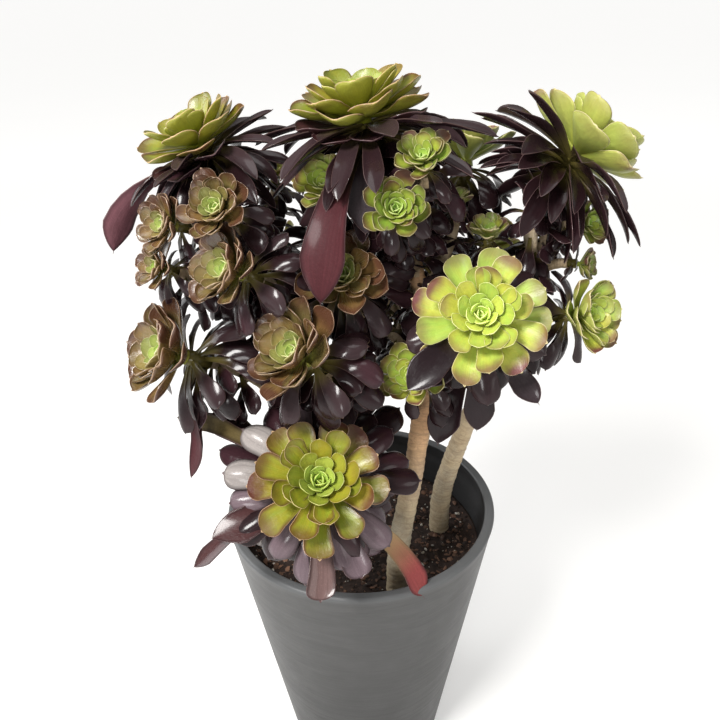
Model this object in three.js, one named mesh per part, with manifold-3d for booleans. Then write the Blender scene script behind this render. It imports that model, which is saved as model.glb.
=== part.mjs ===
// A potted aeonium: a branching succulent with leaf rosettes on bare woody stems, in a plain
// tapered nursery pot. Millimetres, z up, origin at the centre of the pot's underside.
import * as THREE from 'three';
import { mergeVertices } from 'three/addons/utils/BufferGeometryUtils.js';
import Module from 'manifold-3d';

const wasm = await Module();
wasm.setup();

// Driving dimensions: pot and soil
const pot = {
  height: 240,
  rimRadius: 105,
  baseRadius: 67,
  wall: 4,
  lipWidth: 7.5,
  lipDepth: 10,
  floor: 5,
  sides: 32,
  drainHoles: 5,
  drainRadius: 5,
  drainCircle: 40,
};
const soilBelowRim = 38;
const soilUnevenness = 2.2;
const seatGap = 0.3;

// Driving dimensions: stems
const trunkSides = 7;
const branchSides = 5;
const branchRadius = 4.6;
const branchTipRadius = 3.4;
const rootDepth = 48;

// Driving dimensions: leaves
const goldenAngle = THREE.MathUtils.degToRad(137.508);
const bladeClearance = 0.35;
const rootMargin = 1.2;

const radians = THREE.MathUtils.degToRad;
const mix = (a, b, t) => a + (b - a) * t;
const soilTop = pot.height - soilBelowRim;

// Repeatable scatter from 0 to 1 for a plant, a leaf and a purpose
function scatter(plant, leaf, purpose) {
  const value = Math.sin(plant * 127.1 + leaf * 311.7 + purpose * 74.7) * 43758.5453;
  return value - Math.floor(value);
}

// Growth habits. Tilts are degrees from the rosette's axis, lengths and widths are
// fractions of its radius, bends are degrees over the leaf's length.
const habits = {
  saucer: {
    heart: 12, coreRadius: 0.13, coreHeight: 0.3, budRadius: 0.2, budHeight: 0.5, skirtHeight: 0.46,
    headTilt: [6, 82], headLength: [0.16, 1.04], headWidth: [0.12, 0.42], headBend: [-20, 12],
    skirtTilt: [88, 120], skirtLength: [1.36, 1.58], skirtWidth: [0.4, 0.42], skirtBend: 18,
    widest: 0.76, keel: 0.05, rounded: true,
  },
  cup: {
    heart: 10, coreRadius: 0.13, coreHeight: 0.2, budRadius: 0.2, budHeight: 0.6, skirtHeight: 0.5,
    headTilt: [8, 84], headLength: [0.42, 1.12], headWidth: [0.16, 0.5], headBend: [-20, -8],
    skirtTilt: [76, 128], skirtLength: [1.66, 1.46], skirtWidth: [0.32, 0.36], skirtBend: 36,
    widest: 0.7, keel: 0.035, rounded: true, strapSkirt: true,
  },
  bowl: {
    heart: 9, coreRadius: 0.16, coreHeight: 0.3, budRadius: 0.26, budHeight: 0.56, skirtHeight: 0.5,
    headTilt: [6, 67], headLength: [0.24, 1.16], headWidth: [0.16, 0.52], headBend: [-20, -4],
    skirtTilt: [84, 124], skirtLength: [1.34, 1.52], skirtWidth: [0.42, 0.44], skirtBend: 30,
    widest: 0.78, keel: 0.055, rounded: false,
  },
};

// Rosettes. seat is where the live head meets its older leaves, facing is the compass angle
// of the axis from +x, tilt is the axis's lean from upright, radius is the live head's reach.
const rosettes = [
  { name: 'front', habit: 'saucer', seat: [-25, -96, 329], facing: -84, tilt: 41, radius: 42,
    head: 17, skirt: 23, skirtReach: 0.96, tone: 'olive', spin: 20 },
  { name: 'right', habit: 'saucer', seat: [76, -61, 424], facing: -102, tilt: 54, radius: 41,
    head: 17, skirt: 12, skirtReach: 0.84, tone: 'lime', spin: 200 },
  { name: 'crown', habit: 'cup', seat: [8, -8, 531], facing: 190, tilt: 9, radius: 39,
    head: 16, skirt: 24, skirtReach: 1.15, tone: 'olive', spin: 0 },
  { name: 'crown_left', habit: 'cup', seat: [-92, 0, 516], facing: 195, tilt: 24, radius: 34,
    head: 13, skirt: 19, skirtReach: 1.06, tone: 'olive', spin: 80 },
  { name: 'crown_right', habit: 'cup', seat: [141, 8, 503], facing: 12, tilt: 45, radius: 41,
    head: 13, skirt: 19, tone: 'lime', spin: 140 },
  { name: 'low_left', habit: 'bowl', seat: [-106, -58, 402], facing: -148, tilt: 60, radius: 33,
    head: 11, skirt: 9, tone: 'bronze', spin: 10 },
  { name: 'centre_left', habit: 'bowl', seat: [-28, -81, 410], facing: -136, tilt: 48, radius: 32,
    head: 11, skirt: 12, skirtReach: 0.95, tone: 'bronze', spin: 60 },
  { name: 'centre', habit: 'bowl', seat: [-8, -45, 445], facing: -88, tilt: 49, radius: 28,
    head: 11, skirt: 13, skirtReach: 1.3, tone: 'olive', spin: 110 },
  { name: 'mid_left', habit: 'bowl', seat: [-65, -62, 457], facing: -138, tilt: 60, radius: 27,
    head: 11, skirt: 8, tone: 'bronze', spin: 150 },
  { name: 'upper_left', habit: 'bowl', seat: [-74, -53, 491], facing: -108, tilt: 54, radius: 21,
    head: 11, skirt: 7, tone: 'bronze', spin: 30 },
  { name: 'side_right', habit: 'bowl', seat: [146, -12, 403], facing: -49, tilt: 68, radius: 28,
    head: 10, skirt: 9, tone: 'lime', spin: 75 },
  { name: 'far_right', habit: 'bowl', seat: [78, 46, 491], facing: 60, tilt: 12, radius: 32,
    head: 9, skirt: 8, tone: 'lime', spin: 300 },
  { name: 'inner_left', habit: 'bowl', seat: [-14, -22, 495], facing: -115, tilt: 50, radius: 20,
    head: 9, skirt: 6, tone: 'lime', spin: 220 },
  { name: 'inner_centre', habit: 'bowl', seat: [24, -54, 490], facing: -91, tilt: 62, radius: 20,
    head: 10, skirt: 6, tone: 'lime', spin: 260 },
  { name: 'inner_right', habit: 'bowl', seat: [40, -50, 515], facing: -104, tilt: 41, radius: 17,
    head: 9, skirt: 5, tone: 'lime', spin: 320 },
  { name: 'low_centre', habit: 'bowl', seat: [39, -52, 381], facing: -120, tilt: 58, radius: 23,
    head: 9, skirt: 6, tone: 'lime', spin: 45 },
  { name: 'edge_upper', habit: 'bowl', seat: [-104, -44, 481], facing: -134, tilt: 68, radius: 19,
    head: 8, skirt: 5, tone: 'bronze', spin: 95 },
  { name: 'edge_lower', habit: 'bowl', seat: [-112, -50, 457], facing: -132, tilt: 62, radius: 16,
    head: 7, skirt: 5, tone: 'bronze', spin: 190 },
  { name: 'shaded_right', habit: 'bowl', seat: [85, -18, 460], facing: -107, tilt: 14, radius: 14,
    head: 7, skirt: 5, tone: 'lime', spin: 15 },
  { name: 'side_upper', habit: 'bowl', seat: [149, 5, 462], facing: -56, tilt: 72, radius: 16,
    head: 7, skirt: 5, tone: 'lime', spin: 125 },
  { name: 'side_middle', habit: 'bowl', seat: [150, 3, 434], facing: -31, tilt: 84, radius: 12,
    head: 6, skirt: 4, tone: 'lime', spin: 165 },
  { name: 'shaded_centre', habit: 'bowl', seat: [66, 4, 474], facing: -114, tilt: 4, radius: 12,
    head: 6, skirt: 4, tone: 'lime', spin: 240 },
  { name: 'shaded_left', habit: 'bowl', seat: [-55, 52, 483], facing: -75, tilt: 17, radius: 15,
    head: 7, skirt: 5, tone: 'olive', spin: 280 },
  { name: 'back_left', habit: 'bowl', seat: [-62, 78, 420], facing: 125, tilt: 52, radius: 27,
    head: 8, skirt: 7, tone: 'olive', spin: 50 },
  { name: 'back_middle', habit: 'bowl', seat: [20, 96, 440], facing: 88, tilt: 46, radius: 28,
    head: 8, skirt: 7, tone: 'lime', spin: 170 },
  { name: 'back_right', habit: 'bowl', seat: [98, 72, 420], facing: 45, tilt: 55, radius: 26,
    head: 8, skirt: 7, tone: 'olive', spin: 310 },
];

// Long old leaves that hang from under a rosette, by the angle round its axis
const oldLeaves = {
  front: [
    { around: 225, tilt: 80, length: 112, width: 13, bend: 50, height: -10 },
    { around: 288, tilt: 86, length: 92, width: 13, bend: 20, height: -12 },
    { around: 59, tilt: 104, length: 113, width: 17, bend: 44, height: -14 },
  ],
  right: [
    { around: 320, tilt: 92, length: 56, width: 22, bend: 4, height: -4 },
    { around: 39, tilt: 100, length: 60, width: 15, bend: 4, height: -8 },
    { around: 334, tilt: 116, length: 94, width: 21, bend: 46, height: -12 },
    { around: 3, tilt: 108, length: 72, width: 19, bend: 40, height: -12 },
  ],
  crown: [
    { around: 56, tilt: 98, length: 116, width: 27, bend: 66, height: -8 },
    { around: 75, tilt: 97, length: 73, width: 21, bend: 68, height: -6 },
  ],
  low_left: [
    { around: 12, tilt: 98, length: 76, width: 15, bend: 6, height: -14 },
  ],
  crown_left: [
    { around: 348, tilt: 70, length: 94, width: 19, bend: 68, height: -8 },
  ],
};

// Trunks: points from the root end up to the rosette that each one ends in, and the rosettes
// that branch off, each at a share of the trunk's length
const trunks = [
  { name: 'stem_right', points: [[64, 8, 0], [66, 8, 40], [80, 4, 100], [96, 6, 150], [118, 8, 230]],
    radius: 8.8, endRadius: 4.2, top: 'crown_right',
    branches: { right: 0.4, side_right: 0.52, back_right: 0.5, side_middle: 0.64, side_upper: 0.74 } },
  { name: 'stem_centre', points: [[26, -58, 0], [27, -57, 40], [40, -40, 110], [46, -20, 180],
    [36, -4, 250]],
    radius: 8.6, endRadius: 4.6, top: 'crown',
    branches: { low_centre: 0.34, back_middle: 0.46, centre: 0.55, shaded_right: 0.6, far_right: 0.66,
      shaded_centre: 0.68, inner_centre: 0.74, inner_left: 0.8, inner_right: 0.82 } },
  { name: 'stem_left', points: [[-30, -14, 0], [-32, -14, 40], [-42, -16, 100], [-56, -8, 170],
    [-72, 2, 240]],
    radius: 8.4, endRadius: 4.4, top: 'crown_left',
    branches: { front: 0.24, low_left: 0.42, centre_left: 0.4, back_left: 0.44, mid_left: 0.6,
      edge_lower: 0.64, edge_upper: 0.72, upper_left: 0.76, shaded_left: 0.7 } },
];

// Bends and cuts that a leaf tries in turn when it would run into a neighbour
const detours = [
  { tilt: 0, bend: 0, length: 1 },
  { tilt: 0, bend: 22, length: 1 },
  { tilt: 0, bend: -22, length: 1 },
  { tilt: 4, bend: 44, length: 0.96 },
  { tilt: -4, bend: -40, length: 0.94 },
  { tilt: 0, bend: 10, length: 0.8 },
  { tilt: 6, bend: 60, length: 0.84 },
  { tilt: 0, bend: 0, length: 0.66 },
];

const finishes = {
  pot: { color: 0x45474a, roughness: 0.62 },
  soil: { color: 0x241a14, roughness: 0.95 },
  stem: { color: 0xa48d6c, roughness: 0.8 },
  lime: { color: 0x9fbf3c, roughness: 0.42 },
  olive: { color: 0x7d8a34, roughness: 0.42 },
  bronze: { color: 0x7a6240, roughness: 0.42 },
  skirt: { color: 0x2e2229, roughness: 0.3 },
};

// Closed solid from a geometry whose seams are merged, and back again
function solidOf(geometry) {
  const bare = geometry.clone();
  bare.deleteAttribute('normal');
  bare.deleteAttribute('uv');
  const welded = mergeVertices(bare, 1e-4);
  return new wasm.Manifold(new wasm.Mesh({
    numProp: 3,
    vertProperties: new Float32Array(welded.attributes.position.array),
    triVerts: new Uint32Array(welded.index.array),
  }));
}

function geometryOf(solid) {
  const mesh = solid.getMesh();
  const geometry = new THREE.BufferGeometry();
  geometry.setAttribute('position', new THREE.BufferAttribute(new Float32Array(mesh.vertProperties), 3));
  geometry.setIndex(new THREE.BufferAttribute(new Uint32Array(mesh.triVerts), 1));
  geometry.computeVertexNormals();
  return geometry;
}

// The one body that holds together, without sealed voids or loose scraps
function mainBody(solid) {
  return solid.decompose().reduce((best, piece) => (piece.volume() > best.volume() ? piece : best));
}

function meshOf(name, geometry, finish) {
  const material = new THREE.MeshStandardMaterial({ ...finishes[finish], metalness: 0 });
  const mesh = new THREE.Mesh(geometry, material);
  mesh.name = name;
  return mesh;
}

// Pot wall: outer and inner radius at a height
const outerRadius = (z) => mix(pot.baseRadius, pot.rimRadius, z / pot.height);
const innerRadius = (z) => outerRadius(z) - pot.wall;

function potGeometry() {
  const top = pot.height;
  const lipInner = pot.rimRadius - pot.lipWidth;
  const profile = [
    [0, 0],
    [pot.baseRadius - 2, 0],
    [outerRadius(2.5), 2.5],
    [outerRadius(top - 4), top - 4],
    [pot.rimRadius - 0.8, top - 1.4],
    [pot.rimRadius - 2.6, top],
    [lipInner + 2, top - 0.6],
    [lipInner, top - 3],
    [innerRadius(top - pot.lipDepth), top - pot.lipDepth],
    [innerRadius(pot.floor), pot.floor],
    [0, pot.floor],
  ].map(([r, z]) => new THREE.Vector2(r, z));
  const body = new THREE.LatheGeometry(profile, pot.sides).rotateX(Math.PI / 2);
  let solid = solidOf(body);
  for (let i = 0; i < pot.drainHoles; i += 1) {
    const angle = (i / pot.drainHoles) * Math.PI * 2;
    const hole = new THREE.CylinderGeometry(pot.drainRadius, pot.drainRadius, pot.floor * 4, 8);
    hole.rotateX(Math.PI / 2);
    hole.translate(pot.drainCircle * Math.cos(angle), pot.drainCircle * Math.sin(angle), 0);
    solid = solid.subtract(solidOf(hole));
  }
  return geometryOf(solid);
}

// Soil: a plug that follows the wall, with a gently uneven top
function soilSolid() {
  const bottom = pot.floor + seatGap;
  const profile = [
    [0, bottom],
    [innerRadius(bottom) - seatGap, bottom],
    [innerRadius(soilTop) - seatGap, soilTop],
    [innerRadius(soilTop) * 0.7, soilTop],
    [innerRadius(soilTop) * 0.35, soilTop],
    [0, soilTop],
  ].map(([r, z]) => new THREE.Vector2(r, z));
  const body = new THREE.LatheGeometry(profile, pot.sides).rotateX(Math.PI / 2);
  const position = body.attributes.position;
  for (let i = 0; i < position.count; i += 1) {
    const x = position.getX(i);
    const y = position.getY(i);
    if (position.getZ(i) > soilTop - 1 && Math.hypot(x, y) < innerRadius(soilTop) - 4) {
      const wave = Math.sin(x * 0.09 + 1.3) * Math.cos(y * 0.11 - 0.4) + Math.sin((x + y) * 0.05);
      position.setZ(i, soilTop + wave * soilUnevenness);
    }
  }
  return solidOf(body);
}

// Round tube along a curve, closed at both ends, with a radius for each share of its length
function tubeSolid(curve, radiusAt, steps, sides) {
  const frames = curve.computeFrenetFrames(steps, false);
  const vertices = [];
  const faces = [];
  for (let i = 0; i <= steps; i += 1) {
    const centre = curve.getPointAt(i / steps);
    const radius = radiusAt(i / steps);
    for (let j = 0; j < sides; j += 1) {
      const angle = (j / sides) * Math.PI * 2;
      const point = centre.clone()
        .addScaledVector(frames.normals[i], Math.cos(angle) * radius)
        .addScaledVector(frames.binormals[i], Math.sin(angle) * radius);
      vertices.push(...point.toArray());
      if (i < steps) {
        const a = i * sides + j;
        const b = i * sides + ((j + 1) % sides);
        faces.push(a, b, b + sides, a, b + sides, a + sides);
      }
    }
  }
  const last = steps * sides;
  for (let j = 1; j < sides - 1; j += 1) {
    faces.push(0, j + 1, j, last, last + j, last + j + 1);
  }
  const geometry = new THREE.BufferGeometry();
  geometry.setAttribute('position', new THREE.Float32BufferAttribute(vertices, 3));
  geometry.setIndex(faces);
  return solidOf(geometry);
}

// The rosette's own frame: seat, axis, and the slope and level directions round the axis
function frameOf(rosette) {
  const facing = radians(rosette.facing);
  const tilt = radians(rosette.tilt);
  const axis = new THREE.Vector3(
    Math.sin(tilt) * Math.cos(facing), Math.sin(tilt) * Math.sin(facing), Math.cos(tilt));
  const slope = new THREE.Vector3(
    Math.cos(tilt) * Math.cos(facing), Math.cos(tilt) * Math.sin(facing), -Math.sin(tilt));
  const level = axis.clone().cross(slope);
  return { seat: new THREE.Vector3(...rosette.seat), axis, slope, level };
}

const skirtDrop = (rosette) => habits[rosette.habit].skirtHeight * rosette.radius;

// Open leaves of a rosette's live head, from the heart outwards; the closed heart is a bud
function headLeaves(rosette, plant) {
  const habit = habits[rosette.habit];
  const leaves = [];
  const count = habit.heart + rosette.head;
  for (let i = habit.heart; i < count; i += 1) {
    const age = i / (count - 1);
    const spread = 1 - (1 - age) ** 2;
    leaves.push({
      around: radians(rosette.spin) + i * goldenAngle + (scatter(plant, i, 1) - 0.5) * 0.14,
      tilt: radians(mix(habit.headTilt[0], habit.headTilt[1], spread) + (scatter(plant, i, 2) - 0.5) * 4),
      length: rosette.radius * mix(habit.headLength[0], habit.headLength[1], spread)
        * (0.94 + 0.12 * scatter(plant, i, 3)),
      width: rosette.radius * mix(habit.headWidth[0], habit.headWidth[1], spread),
      bend: radians(mix(habit.headBend[0], habit.headBend[1], age)),
      height: rosette.radius * habit.coreHeight * 0.86 * (1 - age) + rootMargin
        + rosette.radius * habit.keel * 0.6,
      rounded: habit.rounded,
      sags: false,
    });
  }
  return leaves;
}

// Older leaves below the head, which sag under their own weight
function skirtLeaves(rosette, plant) {
  const habit = habits[rosette.habit];
  const leaves = [];
  for (let i = 0; i < rosette.skirt; i += 1) {
    const age = (i + 0.5) / rosette.skirt;
    const order = habit.heart + rosette.head + i;
    leaves.push({
      around: radians(rosette.spin) + order * goldenAngle + (scatter(plant, order, 1) - 0.5) * 0.2,
      tilt: radians(mix(habit.skirtTilt[0], habit.skirtTilt[1], age)
        + (scatter(plant, order, 2) - 0.5) * 6),
      length: rosette.radius * (rosette.skirtReach ?? 1)
        * mix(habit.skirtLength[0], habit.skirtLength[1], age)
        * (0.9 + 0.2 * scatter(plant, order, 3)),
      width: rosette.radius * mix(habit.skirtWidth[0], habit.skirtWidth[1], age),
      bend: radians(habit.skirtBend * (0.7 + 0.6 * scatter(plant, order, 4))),
      height: -mix(rootMargin, 0.62 * skirtDrop(rosette), age),
      rounded: habit.rounded && !habit.strapSkirt,
      sags: true,
    });
  }
  return leaves;
}

function hangingLeaves(rosette) {
  return (oldLeaves[rosette.name] ?? []).map((leaf) => ({
    ...leaf,
    around: radians(leaf.around),
    tilt: radians(leaf.tilt),
    bend: radians(leaf.bend),
    rounded: true,
    sags: true,
  }));
}

// A leaf's midrib is an arc: it starts away from the axis at its tilt and bends evenly, outwards
// from the axis in a live head and towards the ground in a skirt
function midrib(frame, leaf) {
  const radial = frame.slope.clone().multiplyScalar(Math.cos(leaf.around))
    .addScaledVector(frame.level, Math.sin(leaf.around));
  const start = frame.axis.clone().multiplyScalar(Math.cos(leaf.tilt))
    .addScaledVector(radial, Math.sin(leaf.tilt));
  const side = frame.slope.clone().multiplyScalar(-Math.sin(leaf.around))
    .addScaledVector(frame.level, Math.cos(leaf.around));
  const pull = leaf.sags ? new THREE.Vector3(0, 0, -1) : start.clone().cross(side).negate();
  const reach = leaf.sags ? start.clone().cross(pull).length() : 1;
  const turn = pull.addScaledVector(start, -pull.dot(start)).normalize();
  const bend = leaf.bend * reach || 1e-6;
  const root = frame.seat.clone().addScaledVector(frame.axis, leaf.height);
  return (share) => {
    const angle = bend * share;
    const forward = start.clone().multiplyScalar(Math.cos(angle)).addScaledVector(turn, Math.sin(angle));
    const point = root.clone()
      .addScaledVector(start, (leaf.length * Math.sin(angle)) / bend)
      .addScaledVector(turn, (leaf.length * (1 - Math.cos(angle))) / bend);
    const across = side.clone().addScaledVector(forward, -side.dot(forward)).normalize();
    return { point, across, upper: forward.clone().cross(across) };
  };
}

// Spoon outline: a narrow foot that widens to the widest place, then a rounded end
function spoon(share, widest) {
  if (share < widest) {
    const t = share / widest;
    return 0.24 + 0.76 * t * t * (3 - 2 * t);
  }
  return Math.sqrt(Math.max(0, 1 - ((share - widest) / (1 - widest)) ** 2));
}

// Blade: flat above and keeled below, from a pointed root deep in the core to a pointed tip
function bladeSolid(frame, leaf, habit, swell = 0) {
  const at = midrib(frame, leaf);
  const keeled = [0.42, habit.widest];
  const edged = leaf.rounded ? [...keeled, mix(habit.widest, 1, 0.7)] : keeled;
  const depth = habit.keel * leaf.length * 0.6 + 0.5;
  const root = at(0);
  const end = at(1 + swell / leaf.length);
  const vertices = [
    ...root.point.addScaledVector(root.upper, -depth * 0.3).toArray(),
    ...end.point.addScaledVector(end.upper, 0.6).toArray(),
  ];
  for (const share of keeled) {
    const { point, upper } = at(share);
    vertices.push(...point.addScaledVector(upper, -depth - swell).toArray());
  }
  for (const share of edged) {
    const { point, across, upper } = at(share);
    const half = (leaf.width / 2) * spoon(share, habit.widest) + swell;
    const lift = half * 0.16 + swell;
    vertices.push(
      ...point.clone().addScaledVector(across, -half).addScaledVector(upper, lift).toArray(),
      ...point.clone().addScaledVector(across, half).addScaledVector(upper, lift).toArray(),
    );
  }
  const [foot, tip, keel, left, right] = [0, 1, 2, 4, 5];
  const faces = [foot, left, right, foot, keel, left, foot, right, keel];
  faces.push(left, left + 2, right + 2, left, right + 2, right);
  faces.push(left, keel, left + 2, keel, keel + 1, left + 2);
  faces.push(right, right + 2, keel, right + 2, keel + 1, keel);
  const [nearLeft, nearRight] = [left + 2, right + 2];
  if (leaf.rounded) {
    const [farLeft, farRight] = [left + 4, right + 4];
    faces.push(nearLeft, farLeft, farRight, nearLeft, farRight, nearRight, farLeft, tip, farRight);
    faces.push(nearLeft, keel + 1, farLeft, farLeft, keel + 1, tip);
    faces.push(nearRight, farRight, keel + 1, farRight, tip, keel + 1);
  } else {
    faces.push(nearLeft, tip, nearRight, nearLeft, keel + 1, tip, nearRight, tip, keel + 1);
  }
  const geometry = new THREE.BufferGeometry();
  geometry.setAttribute('position', new THREE.Float32BufferAttribute(vertices, 3));
  geometry.setIndex(faces);
  return solidOf(geometry);
}

// Six-sided core on the rosette's axis, from a profile of radius and height
function coreSolid(frame, profile) {
  const points = profile.map(([r, z]) => new THREE.Vector2(r, z));
  const core = new THREE.LatheGeometry(points, 6).rotateX(Math.PI / 2);
  const turned = new THREE.Matrix4().makeBasis(frame.slope, frame.level, frame.axis);
  core.applyMatrix4(turned).translate(...frame.seat.toArray());
  return solidOf(core);
}

function headCore(rosette) {
  const { coreRadius, coreHeight, budRadius, budHeight } = habits[rosette.habit];
  const profile = [[0, 0], [coreRadius, 0], [budRadius, coreHeight], [0, budHeight]];
  const sized = profile.map(([r, h]) => [r * rosette.radius, h * rosette.radius + seatGap / 2]);
  return coreSolid(frameOf(rosette), sized);
}

function skirtCore(rosette) {
  const r = Math.max(habits[rosette.habit].coreRadius * rosette.radius, branchTipRadius);
  const foot = -skirtDrop(rosette);
  return coreSolid(frameOf(rosette), [[0, foot], [r * 0.9, foot], [r, -seatGap / 2], [0, -seatGap / 2]]);
}

// Where a stem ends, just under a rosette's older leaves
function stemEnd(rosette) {
  const frame = frameOf(rosette);
  return frame.seat.addScaledVector(frame.axis, -skirtDrop(rosette) - seatGap);
}

function trunkCurve(trunk) {
  const top = rosettes.find((rosette) => rosette.name === trunk.top);
  const end = stemEnd(top);
  const beforeEnd = end.clone().addScaledVector(frameOf(top).axis, -14);
  const points = trunk.points.map(([x, y, rise]) => new THREE.Vector3(x, y, soilTop + rise));
  points.unshift(new THREE.Vector3(trunk.points[0][0], trunk.points[0][1], soilTop - rootDepth));
  return new THREE.CatmullRomCurve3([...points, beforeEnd, end], false, 'centripetal');
}

// A branch leaves the trunk along it and arrives under its rosette along the rosette's axis
function branchCurve(trunk, share, rosette) {
  const from = trunk.getPointAt(share);
  const to = stemEnd(rosette);
  const reach = from.distanceTo(to) * 0.4;
  return new THREE.CubicBezierCurve3(
    from,
    from.clone().addScaledVector(trunk.getTangentAt(share), reach),
    to.clone().addScaledVector(frameOf(rosette).axis, -reach),
    to,
  );
}

function stemSolid(trunk, swell = 0) {
  const curve = trunkCurve(trunk);
  const radiusAt = (share) => mix(trunk.radius, trunk.endRadius, share) + swell;
  const pieces = [tubeSolid(curve, radiusAt, 10, trunkSides)];
  for (const [name, share] of Object.entries(trunk.branches)) {
    const rosette = rosettes.find((candidate) => candidate.name === name);
    const branch = branchCurve(curve, share, rosette);
    pieces.push(tubeSolid(branch, (t) => mix(branchRadius, branchTipRadius, t) + swell, 4, branchSides));
  }
  return mainBody(wasm.Manifold.union(pieces));
}

// Solids already placed, each with its bounding box for a quick first test
const placed = new Map();

function place(name, solid, finish) {
  placed.set(name, { solid, finish, box: solid.boundingBox() });
}

const boxesMeet = (a, b) => [0, 1, 2].every((k) => a.min[k] <= b.max[k] && b.min[k] <= a.max[k]);

function isClear(solid, ownName) {
  const box = solid.boundingBox();
  for (const [name, other] of placed) {
    if (name !== ownName && boxesMeet(box, other.box) && !solid.intersect(other.solid).isEmpty()) {
      return false;
    }
  }
  return true;
}

// Adds each leaf to its core in the first of its bends that clears all that is placed
function grow(name, rosette, leaves) {
  const frame = frameOf(rosette);
  const habit = habits[rosette.habit];
  const { solid: core, finish } = placed.get(name);
  const pieces = [core];
  for (const leaf of leaves) {
    for (const change of detours) {
      const bent = {
        ...leaf,
        tilt: leaf.tilt + radians(change.tilt),
        bend: leaf.bend + radians(change.bend),
        length: leaf.length * change.length,
      };
      if (isClear(bladeSolid(frame, bent, habit, bladeClearance), name)) {
        pieces.push(bladeSolid(frame, bent, habit));
        break;
      }
    }
  }
  place(name, mainBody(wasm.Manifold.union(pieces)), finish);
}

place('pot', solidOf(potGeometry()), 'pot');
let soil = soilSolid();
for (const trunk of trunks) {
  place(trunk.name, stemSolid(trunk), 'stem');
  soil = soil.subtract(stemSolid(trunk, seatGap));
}
place('soil', mainBody(soil), 'soil');
for (const rosette of rosettes) {
  place(`${rosette.name}_head`, headCore(rosette), rosette.tone);
  place(`${rosette.name}_skirt`, skirtCore(rosette), 'skirt');
}
rosettes.forEach((rosette) => grow(`${rosette.name}_skirt`, rosette, hangingLeaves(rosette)));
rosettes.forEach((rosette, plant) => grow(`${rosette.name}_head`, rosette, headLeaves(rosette, plant)));
rosettes.forEach((rosette, plant) => grow(`${rosette.name}_skirt`, rosette, skirtLeaves(rosette, plant)));

const group = new THREE.Group();
for (const [name, { solid, finish }] of placed) {
  group.add(meshOf(name, geometryOf(solid), finish));
}

export default group;
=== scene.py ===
"""A potted aeonium: leaf rosettes on bare branching stems, in a plain tapered nursery pot.

Lengths in the tables are millimetres in the part's frame, z up, origin under the middle of the pot.
"""

import math
from collections import namedtuple
from functools import cache

import bmesh
import bpy
import numpy as np
from mathutils import Matrix, Vector, kdtree, noise


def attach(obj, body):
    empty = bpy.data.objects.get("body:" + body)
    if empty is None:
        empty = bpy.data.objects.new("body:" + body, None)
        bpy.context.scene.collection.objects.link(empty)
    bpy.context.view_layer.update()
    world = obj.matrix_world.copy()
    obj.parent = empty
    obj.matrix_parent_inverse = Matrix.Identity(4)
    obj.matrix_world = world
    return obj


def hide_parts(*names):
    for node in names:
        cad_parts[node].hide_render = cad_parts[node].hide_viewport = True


bl_info = {
    "name": "Potted aeonium",
    "version": (1, 0, 0),
    "blender": (4, 5, 0),
    "location": "3D View > Sidebar > Aeonium",
    "description": "Builds a branching aeonium in a nursery pot round its fixed frame",
    "category": "Object",
}

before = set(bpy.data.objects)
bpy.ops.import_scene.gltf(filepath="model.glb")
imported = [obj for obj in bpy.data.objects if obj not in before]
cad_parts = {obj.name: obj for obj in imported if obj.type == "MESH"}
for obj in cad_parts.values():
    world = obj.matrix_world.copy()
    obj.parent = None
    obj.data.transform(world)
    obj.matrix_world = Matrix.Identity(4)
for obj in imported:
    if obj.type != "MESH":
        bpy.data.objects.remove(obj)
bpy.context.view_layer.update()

MM = 0.001
GOLDEN_ANGLE = math.radians(137.508)
POT_FLOOR = 5
SOIL_DEPTH_BELOW_RIM = 38
ROOT_DEPTH = 48
BRANCH_RADIUS = 4.6
BRANCH_TIP_RADIUS = 3.4
BRANCH_FLARE = 1.6
ROOT_MARGIN = 1.2
SEAT_GAP = 0.3

# The plant

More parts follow.
